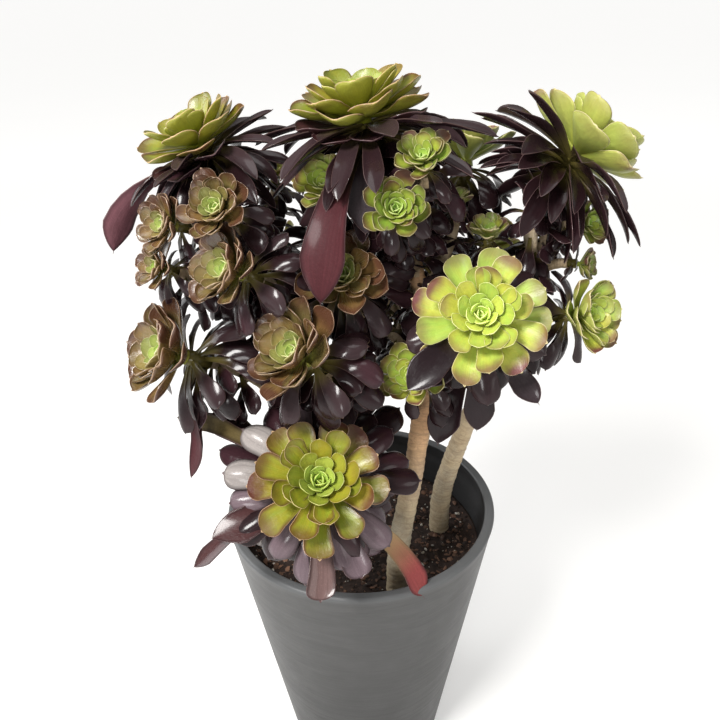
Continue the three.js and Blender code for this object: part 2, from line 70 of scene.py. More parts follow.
Rosette = namedtuple("Rosette", "name habit seat facing tilt radius head skirt reach tone spin")
ROSETTES = [
    Rosette("front", "saucer", (-25, -96, 329), -84, 41, 42, 17, 23, 0.96, "olive", 20),
    Rosette("right", "saucer", (76, -61, 424), -102, 54, 41, 17, 12, 0.84, "lime", 200),
    Rosette("crown", "cup", (8, -8, 531), 190, 9, 39, 16, 24, 1.15, "olive", 0),
    Rosette("crown_left", "cup", (-92, 0, 516), 195, 24, 34, 13, 19, 1.06, "olive", 80),
    Rosette("crown_right", "cup", (141, 8, 503), 12, 45, 41, 13, 19, 1, "lime", 140),
    Rosette("low_left", "bowl", (-106, -58, 402), -148, 60, 33, 11, 9, 1, "bronze", 10),
    Rosette("centre_left", "bowl", (-28, -81, 410), -136, 48, 32, 11, 12, 0.95, "bronze", 60),
    Rosette("centre", "bowl", (-8, -45, 445), -88, 49, 28, 11, 13, 1.3, "olive", 110),
    Rosette("mid_left", "bowl", (-65, -62, 457), -138, 60, 27, 11, 8, 1, "bronze", 150),
    Rosette("upper_left", "bowl", (-74, -53, 491), -108, 54, 21, 11, 7, 1, "bronze", 30),
    Rosette("side_right", "bowl", (146, -12, 403), -49, 68, 28, 10, 9, 1, "lime", 75),
    Rosette("far_right", "bowl", (78, 46, 491), 60, 12, 32, 9, 8, 1, "lime", 300),
    Rosette("inner_left", "bowl", (-14, -22, 495), -115, 50, 20, 9, 6, 1, "lime", 220),
    Rosette("inner_centre", "bowl", (24, -54, 490), -91, 62, 20, 10, 6, 1, "lime", 260),
    Rosette("inner_right", "bowl", (40, -50, 515), -104, 41, 17, 9, 5, 1, "lime", 320),
    Rosette("low_centre", "bowl", (39, -52, 381), -120, 58, 23, 9, 6, 1, "lime", 45),
    Rosette("edge_upper", "bowl", (-104, -44, 481), -134, 68, 19, 8, 5, 1, "bronze", 95),
    Rosette("edge_lower", "bowl", (-112, -50, 457), -132, 62, 16, 7, 5, 1, "bronze", 190),
    Rosette("shaded_right", "bowl", (85, -18, 460), -107, 14, 14, 7, 5, 1, "lime", 15),
    Rosette("side_upper", "bowl", (149, 5, 462), -56, 72, 16, 7, 5, 1, "lime", 125),
    Rosette("side_middle", "bowl", (150, 3, 434), -31, 84, 12, 6, 4, 1, "lime", 165),
    Rosette("shaded_centre", "bowl", (66, 4, 474), -114, 4, 12, 6, 4, 1, "lime", 240),
    Rosette("shaded_left", "bowl", (-55, 52, 483), -75, 17, 15, 7, 5, 1, "olive", 280),
    Rosette("back_left", "bowl", (-62, 78, 420), 125, 52, 27, 8, 7, 1, "olive", 50),
    Rosette("back_middle", "bowl", (20, 96, 440), 88, 46, 28, 8, 7, 1, "lime", 170),
    Rosette("back_right", "bowl", (98, 72, 420), 45, 55, 26, 8, 7, 1, "olive", 310),
]
BY_NAME = {rosette.name: rosette for rosette in ROSETTES}

# Lengths and widths are shares of the rosette's radius, tilts and bends are degrees.
# inner counts the leaves inside the open ones, between is the share of open leaves added in gaps,
# fuller widens the blades, and cup is how deep they are dished.
Habit = namedtuple(
    "Habit",
    "heart core_radius core_height bud_radius skirt_height head_tilt head_length "
    "head_width head_bend skirt_tilt skirt_length skirt_width skirt_bend keel inner between fuller cup",
)
HABITS = {
    "saucer": Habit(
        12, 0.13, 0.3, 0.2, 0.46, (6, 82), (0.16, 1.04),
        (0.12, 0.42), (-20, 12), (88, 120), (1.36, 1.58), (0.4, 0.42), 18, 0.05, 24, 0.22, 1.04, 0.24,
    ),
    "cup": Habit(
        10, 0.13, 0.2, 0.2, 0.5, (8, 84), (0.42, 1.12),
        (0.16, 0.5), (-20, -8), (76, 128), (1.66, 1.46), (0.32, 0.36), 36, 0.035, 18, 0.12, 1.42, 0.3,
    ),
    "bowl": Habit(
        9, 0.16, 0.3, 0.26, 0.5, (6, 67), (0.24, 1.16),
        (0.16, 0.52), (-20, -4), (84, 124), (1.34, 1.52), (0.42, 0.44), 30, 0.055, 20, 0.6, 1.16, 0.42,
    ),
}

# Heads that show another tone than their slot's: small ones in the shade, in a copy of lime darkened as
# painted shade and flushing earlier, and a sunburnt one
SHADED = ("inner_centre", "inner_right", "shaded_right", "shaded_centre", "side_upper", "side_middle")
SHOWN_TONES = {"centre": "bronze", **dict.fromkeys(SHADED, "painted_shade_lime")}

# Leaves listed one by one: shape, angle round the rosette's axis, tilt, length, width, bend, height,
# tint, and how far the blade turns about its midrib
Listed = namedtuple(
    "Listed", "kind around tilt length width bend height tint turn", defaults=["none", 0]
)

# Long old leaves under a rosette, as the solids have them
OLD_LEAVES = {
    "front": [
        ("old", 225, 80, 112, 13, 50, -10, "green", -32),
        ("old", 288, 86, 92, 13, 20, -12, "brown", 25),
        ("old", 59, 104, 113, 17, 44, -14, "red"),
    ],
    "right": [
        ("old", 320, 92, 56, 22, 4, -4, "black"),
        ("old", 39, 100, 60, 15, 4, -8, "grey"),
        ("old", 334, 116, 94, 21, 46, -12, "black"),
        ("old", 3, 108, 72, 19, 40, -12, "black"),
    ],
    "crown": [
        ("old", 56, 98, 116, 27, 66, -8, "mauve"),
        ("old", 75, 97, 73, 21, 68, -6, "grey"),
    ],
    "low_left": [
        ("old", 12, 98, 76, 15, 6, -14, "mauve"),
    ],
    "crown_left": [
        ("old", 348, 70, 94, 19, 68, -8, "rose", 70),
    ],
}

# More leaves round a rosette
MORE_LEAVES = {
    # The front's silver leaves carry a painted sheen, and its dusky ones a mauve lightened by painted
    # sheen
    "front": [
        ("skirt", 176, 86, 66, 17, 4, -7),
        ("skirt", 192, 80, 62, 17, 2, -4, "dusky"),
        ("skirt", 158, 82, 64, 17, 6, -6),
        ("skirt", 140, 86, 62, 16, 6, -9),
        ("skirt", 126, 80, 60, 16, 8, -5, "plum"),
        ("skirt", 208, 84, 62, 17, 6, -8, "plum"),
        ("skirt", 226, 78, 60, 18, 4, -3, "silver"),
        ("skirt", 254, 79, 60, 18, 6, -3, "silver"),
        ("skirt", 274, 82, 56, 16, 8, -5, "dusky"),
        ("skirt", 294, 82, 60, 17, 10, -5),
        ("skirt", 108, 84, 62, 15, 10, -8, "plum"),
        ("skirt", 92, 82, 64, 16, 10, -6),
        ("skirt", 240, 90, 72, 15, 8, -13, "plum"),
        ("old", 289, 83, 72, 21, 10, -8, "brown"),
        ("skirt", 150, 92, 78, 19, -4, -12),
        ("skirt", 132, 92, 80, 19, 0, -12),
        ("skirt", 165, 92, 76, 18, -6, -12),
        ("skirt", 198, 92, 78, 18, -4, -12),
        ("skirt", 228, 92, 90, 18, -2, -14, "plum"),
        ("head", 357, 88, 67, 17, 16, -9, "pale"),
        ("head", 24, 92, 60, 17, 22, -9, "dusky"),
    ],
    "right": [
        ("old", 317, 77, 62, 21, 10, 3, "black"),
    ],
    "crown": [
        ("head", 14, 84, 43, 17, -6, -2, "brown"),
        ("head", 47, 90, 42, 17, -4, -3, "brown"),
        ("head", 84, 92, 41, 16, -4, -3, "plum"),
        ("head", 128, 86, 43, 17, -6, -2, "brown"),
    ],
    "crown_left": [
        ("head", 20, 88, 36, 15, -4, -3, "brown"),
        ("head", 58, 92, 37, 16, -2, -3, "plum"),
        ("head", 98, 88, 36, 15, -4, -2, "plum"),
        ("strap", 12, 84, 60, 14, 62, -5),
        ("strap", 30, 78, 56, 13, 66, -4, "grey"),
        ("strap", 325, 84, 62, 14, 58, -6),
        ("strap", 304, 80, 58, 13, 60, -5),
        ("strap", 52, 86, 48, 13, 60, -6),
        ("strap", 76, 84, 42, 12, 62, -5, "plum"),
        ("strap", 118, 84, 44, 12, 62, -6),
    ],
    "low_left": [
        ("old", 350, 96, 46, 12, 20, -10),
        ("old", 30, 92, 44, 12, 30, -11),
    ],
    "centre_left": [
        ("skirt", 330, 96, 56, 14, 26, -10),
        ("skirt", 306, 92, 54, 14, 20, -8),
    ],
}

# Colours that single leaves turn with age, and how much of the leaf turns; the silver one is a painted
# sheen, and the dusky one a mauve lightened by painted sheen
TINTS = {
    "none": ((0, 0, 0), 0),
    "black": ((0.011, 0.006, 0.0075), 0.84),
    "grey": ((0.03, 0.022, 0.025), 0.85),
    "plum": ((0.034, 0.014, 0.018), 0.8),
    "brown": ((0.048, 0.018, 0.018), 0.84),
    "mauve": ((0.058, 0.017, 0.02), 0.9),
    "rose": ((0.12, 0.05, 0.06), 0.9),
    "red": ((0.2, 0.043, 0.042), 1.0),
    "green": ((0.1, 0.075, 0.03), 0.85),
    # Painted sheen: a pale silver for the light that the leaves on the lit side reflect
    "silver": ((0.3, 0.272, 0.258), 0.875),
    # Partly painted sheen: a dark mauve of the leaves, lightened for the light on their domes
    "dusky": ((0.135, 0.098, 0.112), 0.8),
    "pale": ((0.138, 0.085, 0.08), 0.84),
}

# Bends and cuts that a leaf may have taken to clear its neighbours: tilt, bend, length
DETOURS = [
    (0, 0, 1),
    (0, 22, 1),
    (0, -22, 1),
    (4, 44, 0.96),
    (-4, -40, 0.94),
    (0, 10, 0.8),
    (6, 60, 0.84),
    (0, 0, 0.66),
]

Trunk = namedtuple("Trunk", "name points radius end_radius top branches")
TRUNKS = [
    Trunk(
        "stem_right",
        [(64, 8, 0), (66, 8, 40), (80, 4, 100), (96, 6, 150), (118, 8, 230)],
        8.8, 4.2, "crown_right",
        {"right": 0.4, "side_right": 0.52, "back_right": 0.5, "side_middle": 0.64, "side_upper": 0.74},
    ),
    Trunk(
        "stem_centre",
        [(26, -58, 0), (27, -57, 40), (40, -40, 110), (46, -20, 180), (36, -4, 250)],
        8.6, 4.6, "crown",
        {
            "low_centre": 0.34, "back_middle": 0.46, "centre": 0.55, "shaded_right": 0.6,
            "far_right": 0.66, "shaded_centre": 0.68, "inner_centre": 0.74, "inner_left": 0.8,
            "inner_right": 0.82,
        },
    ),
    Trunk(
        "stem_left",
        [(-30, -14, 0), (-32, -14, 40), (-42, -16, 100), (-56, -8, 170), (-72, 2, 240)],
        8.4, 4.4, "crown_left",
        {
            "front": 0.24, "low_left": 0.42, "centre_left": 0.4, "back_left": 0.44, "mid_left": 0.6,
            "edge_lower": 0.64, "edge_upper": 0.72, "upper_left": 0.76, "shaded_left": 0.7,
        },
    ),
]


def mix(a, b, t):
    return a + (b - a) * t


def smooth(low, high, value):
    """0 below low, 1 above high, and a soft step between them."""
    t = np.clip((value - low) / (high - low), 0, 1)
    return t * t * (3 - 2 * t)


def scatter(plant, leaf, purpose):
    """Repeatable number from 0 to 1 for a plant, a leaf and a purpose."""
    value = math.sin(plant * 127.1 + leaf * 311.7 + purpose * 74.7) * 43758.5453
    return value - math.floor(value)


def times(colour, factors, more=0):
    """A colour with its three parts multiplied, and something added to each."""
    return tuple(float(part) for part in np.multiply(colour, factors) + more)


# Settings that a user would change


def length_setting(name, description, default):
    return bpy.props.FloatProperty(name=name, description=description, default=default, unit="LENGTH")


def angle_setting(name, description, degrees):
    return bpy.props.FloatProperty(
        name=name, description=description, default=math.radians(degrees), unit="ROTATION"
    )


def count_setting(name, description, default, least=0):
    return bpy.props.IntProperty(name=name, description=description, default=default, min=least)


def colour_setting(name, description, default):
    return bpy.props.FloatVectorProperty(
        name=name, description=description, subtype="COLOR", default=default, min=0, max=1
    )


class PotSettings(bpy.types.PropertyGroup):
    """Sizes and colour of the pot."""

    height: length_setting("Height", "Height of the pot", 0.24)
    rim_radius: length_setting("Rim radius", "Outer radius at the rim", 0.105)
    base_radius: length_setting("Base radius", "Outer radius at the foot", 0.067)
    wall: length_setting("Wall", "Thickness of the wall", 0.004)
    colour: colour_setting("Colour", "Colour of the moulded plastic", (0.046, 0.0457, 0.0453))


class SoilSettings(bpy.types.PropertyGroup):
    """How much grit lies on the soil."""

    bark_chips: count_setting("Bark chips", "Number of bark chips on the soil", 2000)
    perlite_grains: count_setting("Perlite grains", "Number of pale grains on the soil", 260)
    colour: colour_setting("Colour", "Colour of the moist soil", (0.02, 0.0115, 0.0085))


class StemSettings(bpy.types.PropertyGroup):
    """Bark of the stems."""

    sides: count_setting("Sides", "Sides round a trunk", 22, 8)
    step: length_setting("Step", "Distance between the rings of a stem", 0.0022)
    colour: colour_setting("Colour", "Colour of the dry bark", (0.5, 0.4, 0.255))


class LeafSettings(bpy.types.PropertyGroup):
    """Fineness and colours of the leaves."""

    rows: count_setting("Rows", "Rows of faces along a large leaf", 9, 5)
    extra_share: bpy.props.FloatProperty(
        name="Extra leaves", description="Old leaves added to a skirt, as a share of its own",
        default=0.7, min=0, max=2, subtype="FACTOR",
    )
    lime: colour_setting("Lime", "Blade of the brightest rosettes", (0.365, 0.435, 0.068))
    # Lime darkened as painted shade, for the small rosettes in the shade of others
    painted_shade_lime: colour_setting("Painted shade lime", "Blade of the small rosettes in the shade", (0.23, 0.3, 0.04))
    olive: colour_setting("Olive", "Blade of the olive rosettes", (0.215, 0.215, 0.018))
    bronze: colour_setting("Bronze", "Blade of the sunburnt rosettes", (0.165, 0.11, 0.042))
    dark: colour_setting("Dark", "Blade of the older leaves", (0.0125, 0.0052, 0.007))


class StageSettings(bpy.types.PropertyGroup):
    """Camera and light."""

    distance: length_setting("Distance", "Camera to the plant's middle", 0.515)
    elevation: angle_setting("Elevation", "Camera above the horizon", 28)
    roll: angle_setting("Roll", "Camera turned about its view", -1.37)
    world_strength: bpy.props.FloatProperty(
        name="Surroundings", description="Strength of the even white light", default=0.5, min=0
    )


# Materials


class Value:
    """An output socket on which Python operators add Math nodes."""

    def __init__(self, nodes, socket):
        self.nodes = nodes
        self.socket = socket

    def math(self, operation, first, second):
        return self.nodes.add("ShaderNodeMath", {"operation": operation}, {0: first, 1: second})[0]

    def __add__(self, other):
        return self.math("ADD", self, other)

    def __sub__(self, other):
        return self.math("SUBTRACT", self, other)

    def __rsub__(self, other):
        return self.math("SUBTRACT", other, self)

    def __mul__(self, other):
        return self.math("MULTIPLY", self, other)

    __radd__ = __add__
    __rmul__ = __mul__

    def at_least(self, other):
        return self.math("MAXIMUM", self, other)

    def step(self, low, high):
        """0 below low, 1 above high, and a soft step between them."""
        settings = {"interpolation_type": "SMOOTHSTEP"}
        return self.nodes.add("ShaderNodeMapRange", settings, {0: self, 1: low, 2: high})[0]


class Nodes:
    """The nodes of a material or of the world."""

    def __init__(self, owner):
        owner.use_nodes = True
        self.tree = owner.node_tree

    def add(self, kind, settings=None, inputs=None):
        """Adds a node, sets it, then its sockets by name or number; returns its outputs."""
        made = self.tree.nodes.new(kind)
        for name, value in (settings or {}).items():
            setattr(made, name, value)
        self.fill(made, inputs or {})
        return [Value(self, socket) for socket in made.outputs if socket.enabled]

    def fill(self, node, inputs):
        """Sets or links a node's sockets by name or number."""
        for key, value in inputs.items():
            if isinstance(value, Value):
                self.tree.links.new(value.socket, node.inputs[key])
            else:
                node.inputs[key].default_value = value


class Finish(Nodes):
    """A procedural material: one Principled surface and the nodes that feed it."""

    def __init__(self, name, **constants):
        self.material = bpy.data.materials.new(name)
        super().__init__(self.material)
        self.surface = next(n for n in self.tree.nodes if n.type == "BSDF_PRINCIPLED")
        self.feed(**constants)

    def feed(self, **sockets):
        """Sets or links the surface's sockets, with _ for a space in their names."""
        self.fill(self.surface, {name.replace("_", " "): value for name, value in sockets.items()})
        return self.material

    def number(self, name):
        """A number that the mesh carries."""
        return self.add("ShaderNodeAttribute", {"attribute_name": name})[2]

    def vector(self, name):
        """A vector that the mesh carries."""
        return self.add("ShaderNodeAttribute", {"attribute_name": name})[1]

    def place(self):
        """Position in the object, in metres."""
        return self.add("ShaderNodeTexCoord")[3]

    def combine(self, x, y, z):
        return self.add("ShaderNodeCombineXYZ", None, {0: x, 1: y, 2: z})[0]

    def scaled(self, vector, factors):
        return self.add("ShaderNodeVectorMath", {"operation": "MULTIPLY"}, {0: vector, 1: factors})[0]

    def noise(self, vector, scale=1.0, detail=3.0, roughness=0.55, distortion=0.0):
        inputs = {
            "Vector": vector, "Scale": scale, "Detail": detail, "Roughness": roughness,
            "Distortion": distortion,
        }
        return self.add("ShaderNodeTexNoise", None, inputs)[0]

    def cracks(self, vector):
        """Distance to the border of the nearest cell."""
        settings = {"feature": "DISTANCE_TO_EDGE"}
        return self.add("ShaderNodeTexVoronoi", settings, {"Vector": vector, "Scale": 1.0})[0]

    def colour(self, factor, low, high, blend="MIX"):
        """Colour low where factor is 0 and high where it is 1; a colour may be three numbers."""
        low, high = ((*c, 1) if isinstance(c, tuple) else c for c in (low, high))
        settings = {"data_type": "RGBA", "blend_type": blend}
        return self.add("ShaderNodeMix", settings, {0: factor, 6: low, 7: high})[0]

    def shaded(self, colour, shade):
        """The colour multiplied by a number."""
        return self.colour(1.0, colour, self.combine(shade, shade, shade), "MULTIPLY")

    def bump(self, height, strength, distance):
        inputs = {"Height": height, "Strength": strength, "Distance": distance}
        return self.add("ShaderNodeBump", None, inputs)[0]


# Colours of a tone, then the age at which a leaf is no longer young, from where and how much it
# flushes, how much its end and its edge flush, how pale its rim is, and its sheen
# The heart colours are the young leaves' own paler green, raised as painted light against the shade that
# the heart's leaves cast on each other
LeafTone = namedtuple(
    "LeafTone",
    "heart foot flush margin heart_margin under young flush_start flush_amount "
    "ends edging rim shine gloss coat",
)
LEAF_TONES = {
    "lime": LeafTone(
        heart=(0.66, 0.84, 0.18), foot=(0.46, 0.5, 0.09), flush=(0.125, 0.035, 0.037),
        margin=(0.68, 0.58, 0.34), heart_margin=(0.8, 0.9, 0.45), under=(0.34, 0.36, 0.09),
        young=0.4, flush_start=1.0, flush_amount=0.95, ends=0.9,
        edging=0.4, rim=0.6, shine=0.42, gloss=0.44, coat=0.08,
    ),
    # A copy of lime darkened as painted shade; its leaves also flush earlier and more at the edge
    "painted_shade_lime": LeafTone(
        heart=(0.48, 0.7, 0.14), foot=(0.3, 0.36, 0.06), flush=(0.08, 0.026, 0.024),
        margin=(0.42, 0.36, 0.2), heart_margin=(0.6, 0.74, 0.3), under=(0.16, 0.15, 0.04),
        young=0.45, flush_start=0.75, flush_amount=0.95, ends=0.8,
        edging=0.6, rim=0.6, shine=0.42, gloss=0.4, coat=0.12,
    ),
    "olive": LeafTone(
        heart=(0.48, 0.66, 0.13), foot=(0.26, 0.28, 0.025), flush=(0.078, 0.022, 0.012),
        margin=(0.52, 0.34, 0.2), heart_margin=(0.5, 0.6, 0.2), under=(0.29, 0.3, 0.04),
        young=0.42, flush_start=0.95, flush_amount=0.92, ends=0.85,
        edging=1.0, rim=0.6, shine=0.36, gloss=0.36, coat=0.12,
    ),
    "bronze": LeafTone(
        heart=(0.5, 0.68, 0.17), foot=(0.3, 0.31, 0.06), flush=(0.062, 0.023, 0.015),
        margin=(0.42, 0.28, 0.17), heart_margin=(0.6, 0.62, 0.3), under=(0.15, 0.09, 0.03),
        young=0.5, flush_start=0.6, flush_amount=0.9, ends=0.5,
        edging=0.9, rim=0.4, shine=0.5, gloss=0.26, coat=0.35,
    ),
    "dark": LeafTone(
        heart=(0.03, 0.018, 0.02), foot=(0.12, 0.1, 0.025), flush=(0.016, 0.0075, 0.009),
        margin=(0.15, 0.09, 0.09), heart_margin=(0.1, 0.06, 0.05), under=(0.02, 0.009, 0.011),
        young=0.4, flush_start=0.3, flush_amount=0.6, ends=0.0,
        edging=0.6, rim=0.6, shine=0.04, gloss=0.22, coat=0.34,
    ),
}
MARGIN_WIDTH = 0.37
DRY_TAN = (0.36, 0.26, 0.13)


def leaf_finish(name, blade, tone):
    """Leaf: colour from heart to old leaf and from foot to tip, a pale margin, veins and a gloss."""
    finish = Finish(name, Specular_IOR_Level=tone.shine, Coat_Roughness=0.15)
    along, across, edge, age, chance, sun, tinted, upper = (
        finish.number(name)
        for name in ("along", "across", "edge_distance", "age", "chance", "sun", "tinted", "upper_side")
    )
    place = finish.place()
    cloud = finish.noise(place, 110)
    speckle = finish.noise(place, 1500, 2)

    def lengthwise(wide, long, shifts, detail, roughness=0.6):
        shifted = finish.combine(across * wide + chance * shifts[0], along * long, chance * shifts[1])
        return finish.noise(shifted, 1.0, detail, roughness)

    streak = lengthwise(7, 1.6, (31, 17), 4)
    mottle = lengthwise(2.2, 3.4, (47, 29), 4)
    vein = lengthwise(16, 1.2, (13, 5), 2, 0.55)

    fresh, ripe = times(blade, (0.84, 1.02, 0.9)), times(blade, (1.14, 0.98, 0.82))
    body = finish.colour((mottle * 0.8 + chance * 0.4 - 0.1).step(0.2, 0.8), fresh, ripe)
    # Young leaves take the heart colour, partly painted light
    body = finish.colour(age.step(0.03, tone.young), tone.heart, body)
    body = finish.colour((1 - along.step(0.12, 0.55)) * 0.8, body, tone.foot)
    body = finish.colour((1 - upper) * 0.7 * along.step(0.2, 0.6), body, tone.under)

    # The flush comes from the tip with age, along the edge, and last on the end
    reach = along + (cloud - 0.5) * 0.5 + (chance - 0.5) * 0.35 + sun * 0.2 + (age - 0.7) * 0.8
    flushed = reach.step(tone.flush_start, tone.flush_start + 0.42) * along.step(0.4, 0.85)
    shown = 0.4 + upper * 0.6
    near_edge = (1 - edge.step(0.3, 3.8)) * along.step(0.3, 0.8) * age.step(0.2, 0.7)
    near_edge = near_edge * shown * tone.edging
    flushed = flushed.at_least(near_edge) * tone.flush_amount
    ends = (along + (cloud - 0.5) * 0.2).step(0.7, 0.96) * age.step(0.3, 0.62) * (0.6 + chance * 0.6)
    body = finish.colour(flushed.at_least(ends * shown * tone.ends), body, tone.flush)

    # Leaves fade to their tint; the silver tint is a painted sheen, and the dusky one is partly one
    faded = tinted * along.step(0.14, 0.6) * (0.75 + streak * 0.4) * (0.35 + edge.step(0.2, 3.0) * 0.65)
    body = finish.colour(faded, body, finish.vector("tint"))
    shade = 0.72 + streak * 0.34 + speckle * 0.16 + (chance - 0.5) * 0.16
    shade = shade + tinted * (finish.noise(place, 900).step(0.52, 0.7) - 0.2) * 0.2
    body = finish.shaded(body, shade)

    rim = (1 - edge.step(MARGIN_WIDTH * 0.4, MARGIN_WIDTH)) * along.step(0.16, 0.4)
    margin = finish.colour(age.step(0.15, 0.5), tone.heart_margin, tone.margin)
    body = finish.colour(rim * (0.4 + age.step(0.1, 0.6) * (tone.rim - 0.4)), body, margin)
    body = finish.colour(tinted.step(0.94, 1.0) * (1 - along.step(0.36, 0.82)), body, DRY_TAN)

    dull = tinted.step(0.86, 0.9)
    coat = tone.coat * (1 - dull * 0.85)
    roughness = tone.gloss + (cloud - 0.5) * 0.22 + (streak - 0.5) * 0.16 + rim * 0.2 + dull * 0.22
    dents = finish.noise(place, 210, 2, 0.5)
    relief = vein * 0.5 + speckle * 0.22 + cloud * 0.3 + dents * 1.2
    normal = finish.bump(relief, 0.5, 0.0007)
    return finish.feed(Base_Color=body, Roughness=roughness, Coat_Weight=coat, Normal=normal)


def pot_finish(colour):
    """Moulded matte plastic with faint brushed rings, paler at the top of the rim, with painted shade
    towards the foot and inside.
    """
    finish = Finish("pot plastic", Specular_IOR_Level=0.3, Coat_Weight=0.0)
    place = finish.place()
    rings = finish.noise(finish.scaled(place, (6, 6, 420)), 1.0, 4, 0.6, 0.6)
    swirls = finish.noise(finish.scaled(place, (22, 22, 95)), 1.0, 4, 0.6, 1.4)
    grain = finish.noise(place, 1400, 2)
    dust = finish.noise(place, 38, 5, 0.65)
    paler_rim, inside = finish.number("paler_rim"), finish.number("inside")
    brushed = (swirls * 0.6 + rings * 0.5 - 0.1).step(0.2, 0.8)
    body = finish.colour(brushed, times(colour, 0.82), times(colour, 1.28, 0.004))
    # Painted shade: the wall darker towards the foot, where less light falls
    height = finish.add("ShaderNodeSeparateXYZ", None, {0: place})[2]
    body = finish.colour((1 - height.step(0.03, 0.25)) * 0.95, body, times(colour, 0.36))
    body = finish.colour(dust.step(0.55, 0.85) * 0.2, body, (0.12, 0.116, 0.112))
    # Paler at the top of the rim
    body = finish.colour(paler_rim * 0.45, body, (0.115, 0.12, 0.125))
    # Painted shade: the inside of the wall darker, for the shade that falls in the pot
    body = finish.colour(inside * 0.55, body, (0.012, 0.0125, 0.014))
    roughness = 0.44 + (rings - 0.5) * 0.2 + (dust - 0.5) * 0.24
    normal = finish.bump(rings * 0.55 + swirls * 0.3 + grain * 0.15, 0.3, 0.0005)
    return finish.feed(Base_Color=body, Roughness=roughness, Normal=normal)


def bark_finish(colour):
    """Dry tan bark with close rings of old leaf scars and darker cracks."""
    finish = Finish("stem bark", Specular_IOR_Level=0.3)
    place = finish.vector("bark_place")
    warm = finish.number("warm")
    rings = finish.noise(finish.scaled(place, (0.06, 0.06, 0.62)), 1.0, 4, 0.6, 0.5)
    scars = finish.cracks(finish.scaled(place, (0.13, 0.13, 0.3)))
    patch = finish.noise(finish.scaled(place, (0.05, 0.05, 0.035)), 1.0, 4, 0.6)
    fibre = finish.noise(finish.scaled(place, (0.9, 0.9, 0.5)))
    grey = times(times(colour, (0.86, 0.92, 1.0)), 0.8, 0.05)
    body = finish.colour(patch.step(0.35, 0.7), colour, grey)
    body = finish.colour(warm * (0.55 + patch * 0.3), body, (0.5, 0.235, 0.09))
    body = finish.colour((1 - rings.step(0.3, 0.62)) * 0.42, body, (0.2, 0.135, 0.08))
    body = finish.colour((1 - scars.step(0.0, 0.09)) * 0.18, body, (0.12, 0.08, 0.05))
    body = finish.shaded(body, 0.8 + fibre * 0.4)
    relief = rings * 0.8 + scars.step(0.0, 0.16) * 0.25 + fibre * 0.25
    roughness = 0.78 + (fibre - 0.5) * 0.2
    return finish.feed(Base_Color=body, Roughness=roughness, Normal=finish.bump(relief, 0.6, 0.0012))


def grit_finish(name, low, high, dryness):
    """Soil, bark chips or pale grains: each bit has its own shade."""
    finish = Finish(name, Specular_IOR_Level=0.35)
    place = finish.place()
    chance = finish.number("chance")
    lumps = finish.noise(place, 420, 5, 0.65)
    grain = finish.noise(place, 2200)
    body = finish.colour((chance * 0.75 + lumps * 0.5 - 0.12).step(0.15, 0.95), low, high)
    body = finish.shaded(body, 0.7 + grain * 0.6)
    roughness = dryness + (lumps - 0.5) * 0.5
    normal = finish.bump(lumps * 0.7 + grain * 0.3, 0.7, 0.0012)
    return finish.feed(Base_Color=body, Roughness=roughness, Normal=normal)


def floor_finish():
    """Plain pale floor with a hardly seen mottling that glows as a painted light, more far from the pot
    than near it.
    """
    finish = Finish("studio floor", Specular_IOR_Level=0.2, Emission_Strength=1.0)
    place = finish.place()
    cloud = finish.noise(place, 2.2)
    body = finish.colour(cloud, (0.56, 0.557, 0.55), (0.59, 0.587, 0.58))
    away = finish.add("ShaderNodeVectorMath", {"operation": "LENGTH"}, {0: place})[0]
    # Painted light: the floor glows, least near the pot
    glow = finish.colour(away.step(0.3, 3.0), (0.34, 0.34, 0.336), (0.66, 0.66, 0.655))
    return finish.feed(Base_Color=body, Roughness=cloud * 0.1 + 0.8, Emission_Color=glow)


# Meshes


def piece_of(name, vertices, faces, finish, numbers, smooth_faces=True):
    """Object from millimetre vertices, faces and numbers for each vertex; it rides on the root."""
    mesh = bpy.data.meshes.new(name)
    mesh.from_pydata((np.asarray(vertices) * MM).tolist(), [], faces)
    for key, values in numbers.items():
        values = np.asarray(values, np.float32)
        kind, field = ("FLOAT_VECTOR", "vector") if values.ndim == 2 else ("FLOAT", "value")
        mesh.attributes.new(key, kind, "POINT").data.foreach_set(field, values.ravel())
    mesh.materials.append(finish)
    if smooth_faces:
        mesh.shade_smooth()
    mesh.validate()
    made = new_object(name, mesh)
    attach(made, "root")
    return made


def new_object(name, data):
    made = bpy.data.objects.new(name, data)
    bpy.context.scene.collection.objects.link(made)
    return made


class Heap:
    """Vertices, faces and numbers of many small closed shapes that make one piece."""

    def __init__(self):
        self.vertices = []
        self.faces = []
        self.numbers = {}
        self.count = 0

    def add(self, vertices, faces, **numbers):
        for face in faces:
            self.faces.append([corner + self.count for corner in face])
        self.vertices.append(vertices)
        for key, value in numbers.items():
            spread = np.broadcast_to(value, (len(vertices),) + np.shape(value)[1:])
            self.numbers.setdefault(key, []).append(np.array(spread, float))
        self.count += len(vertices)

    def piece(self, name, finish, smooth_faces=True):
        numbers = {key: np.concatenate(values) for key, values in self.numbers.items()}
        return piece_of(
            name, np.concatenate(self.vertices), self.faces, finish, numbers, smooth_faces
        )


def circle(sides, first=(1, 0, 0), second=(0, 1, 0)):
    """Points of a unit circle in the plane of two directions."""
    turns = np.arange(sides)[:, None] / sides * math.tau
    return np.cos(turns) * first + np.sin(turns) * second


def tube_faces(rings, sides):
    """Faces of a closed tube of rings with the same number of sides."""
    faces = [list(range(sides))[::-1], [(rings - 1) * sides + i for i in range(sides)]]
    for row in range(rings - 1):
        for i in range(sides):
            j = (i + 1) % sides
            faces.append([row * sides + i, row * sides + j, (row + 1) * sides + j, (row + 1) * sides + i])
    return faces


# Leaves

Leaf = namedtuple(
    "Leaf", "around tilt length width bend height sags age order kind tint turn", defaults=["none", 0]
)
Axes = namedtuple("Axes", "seat axis slope level")

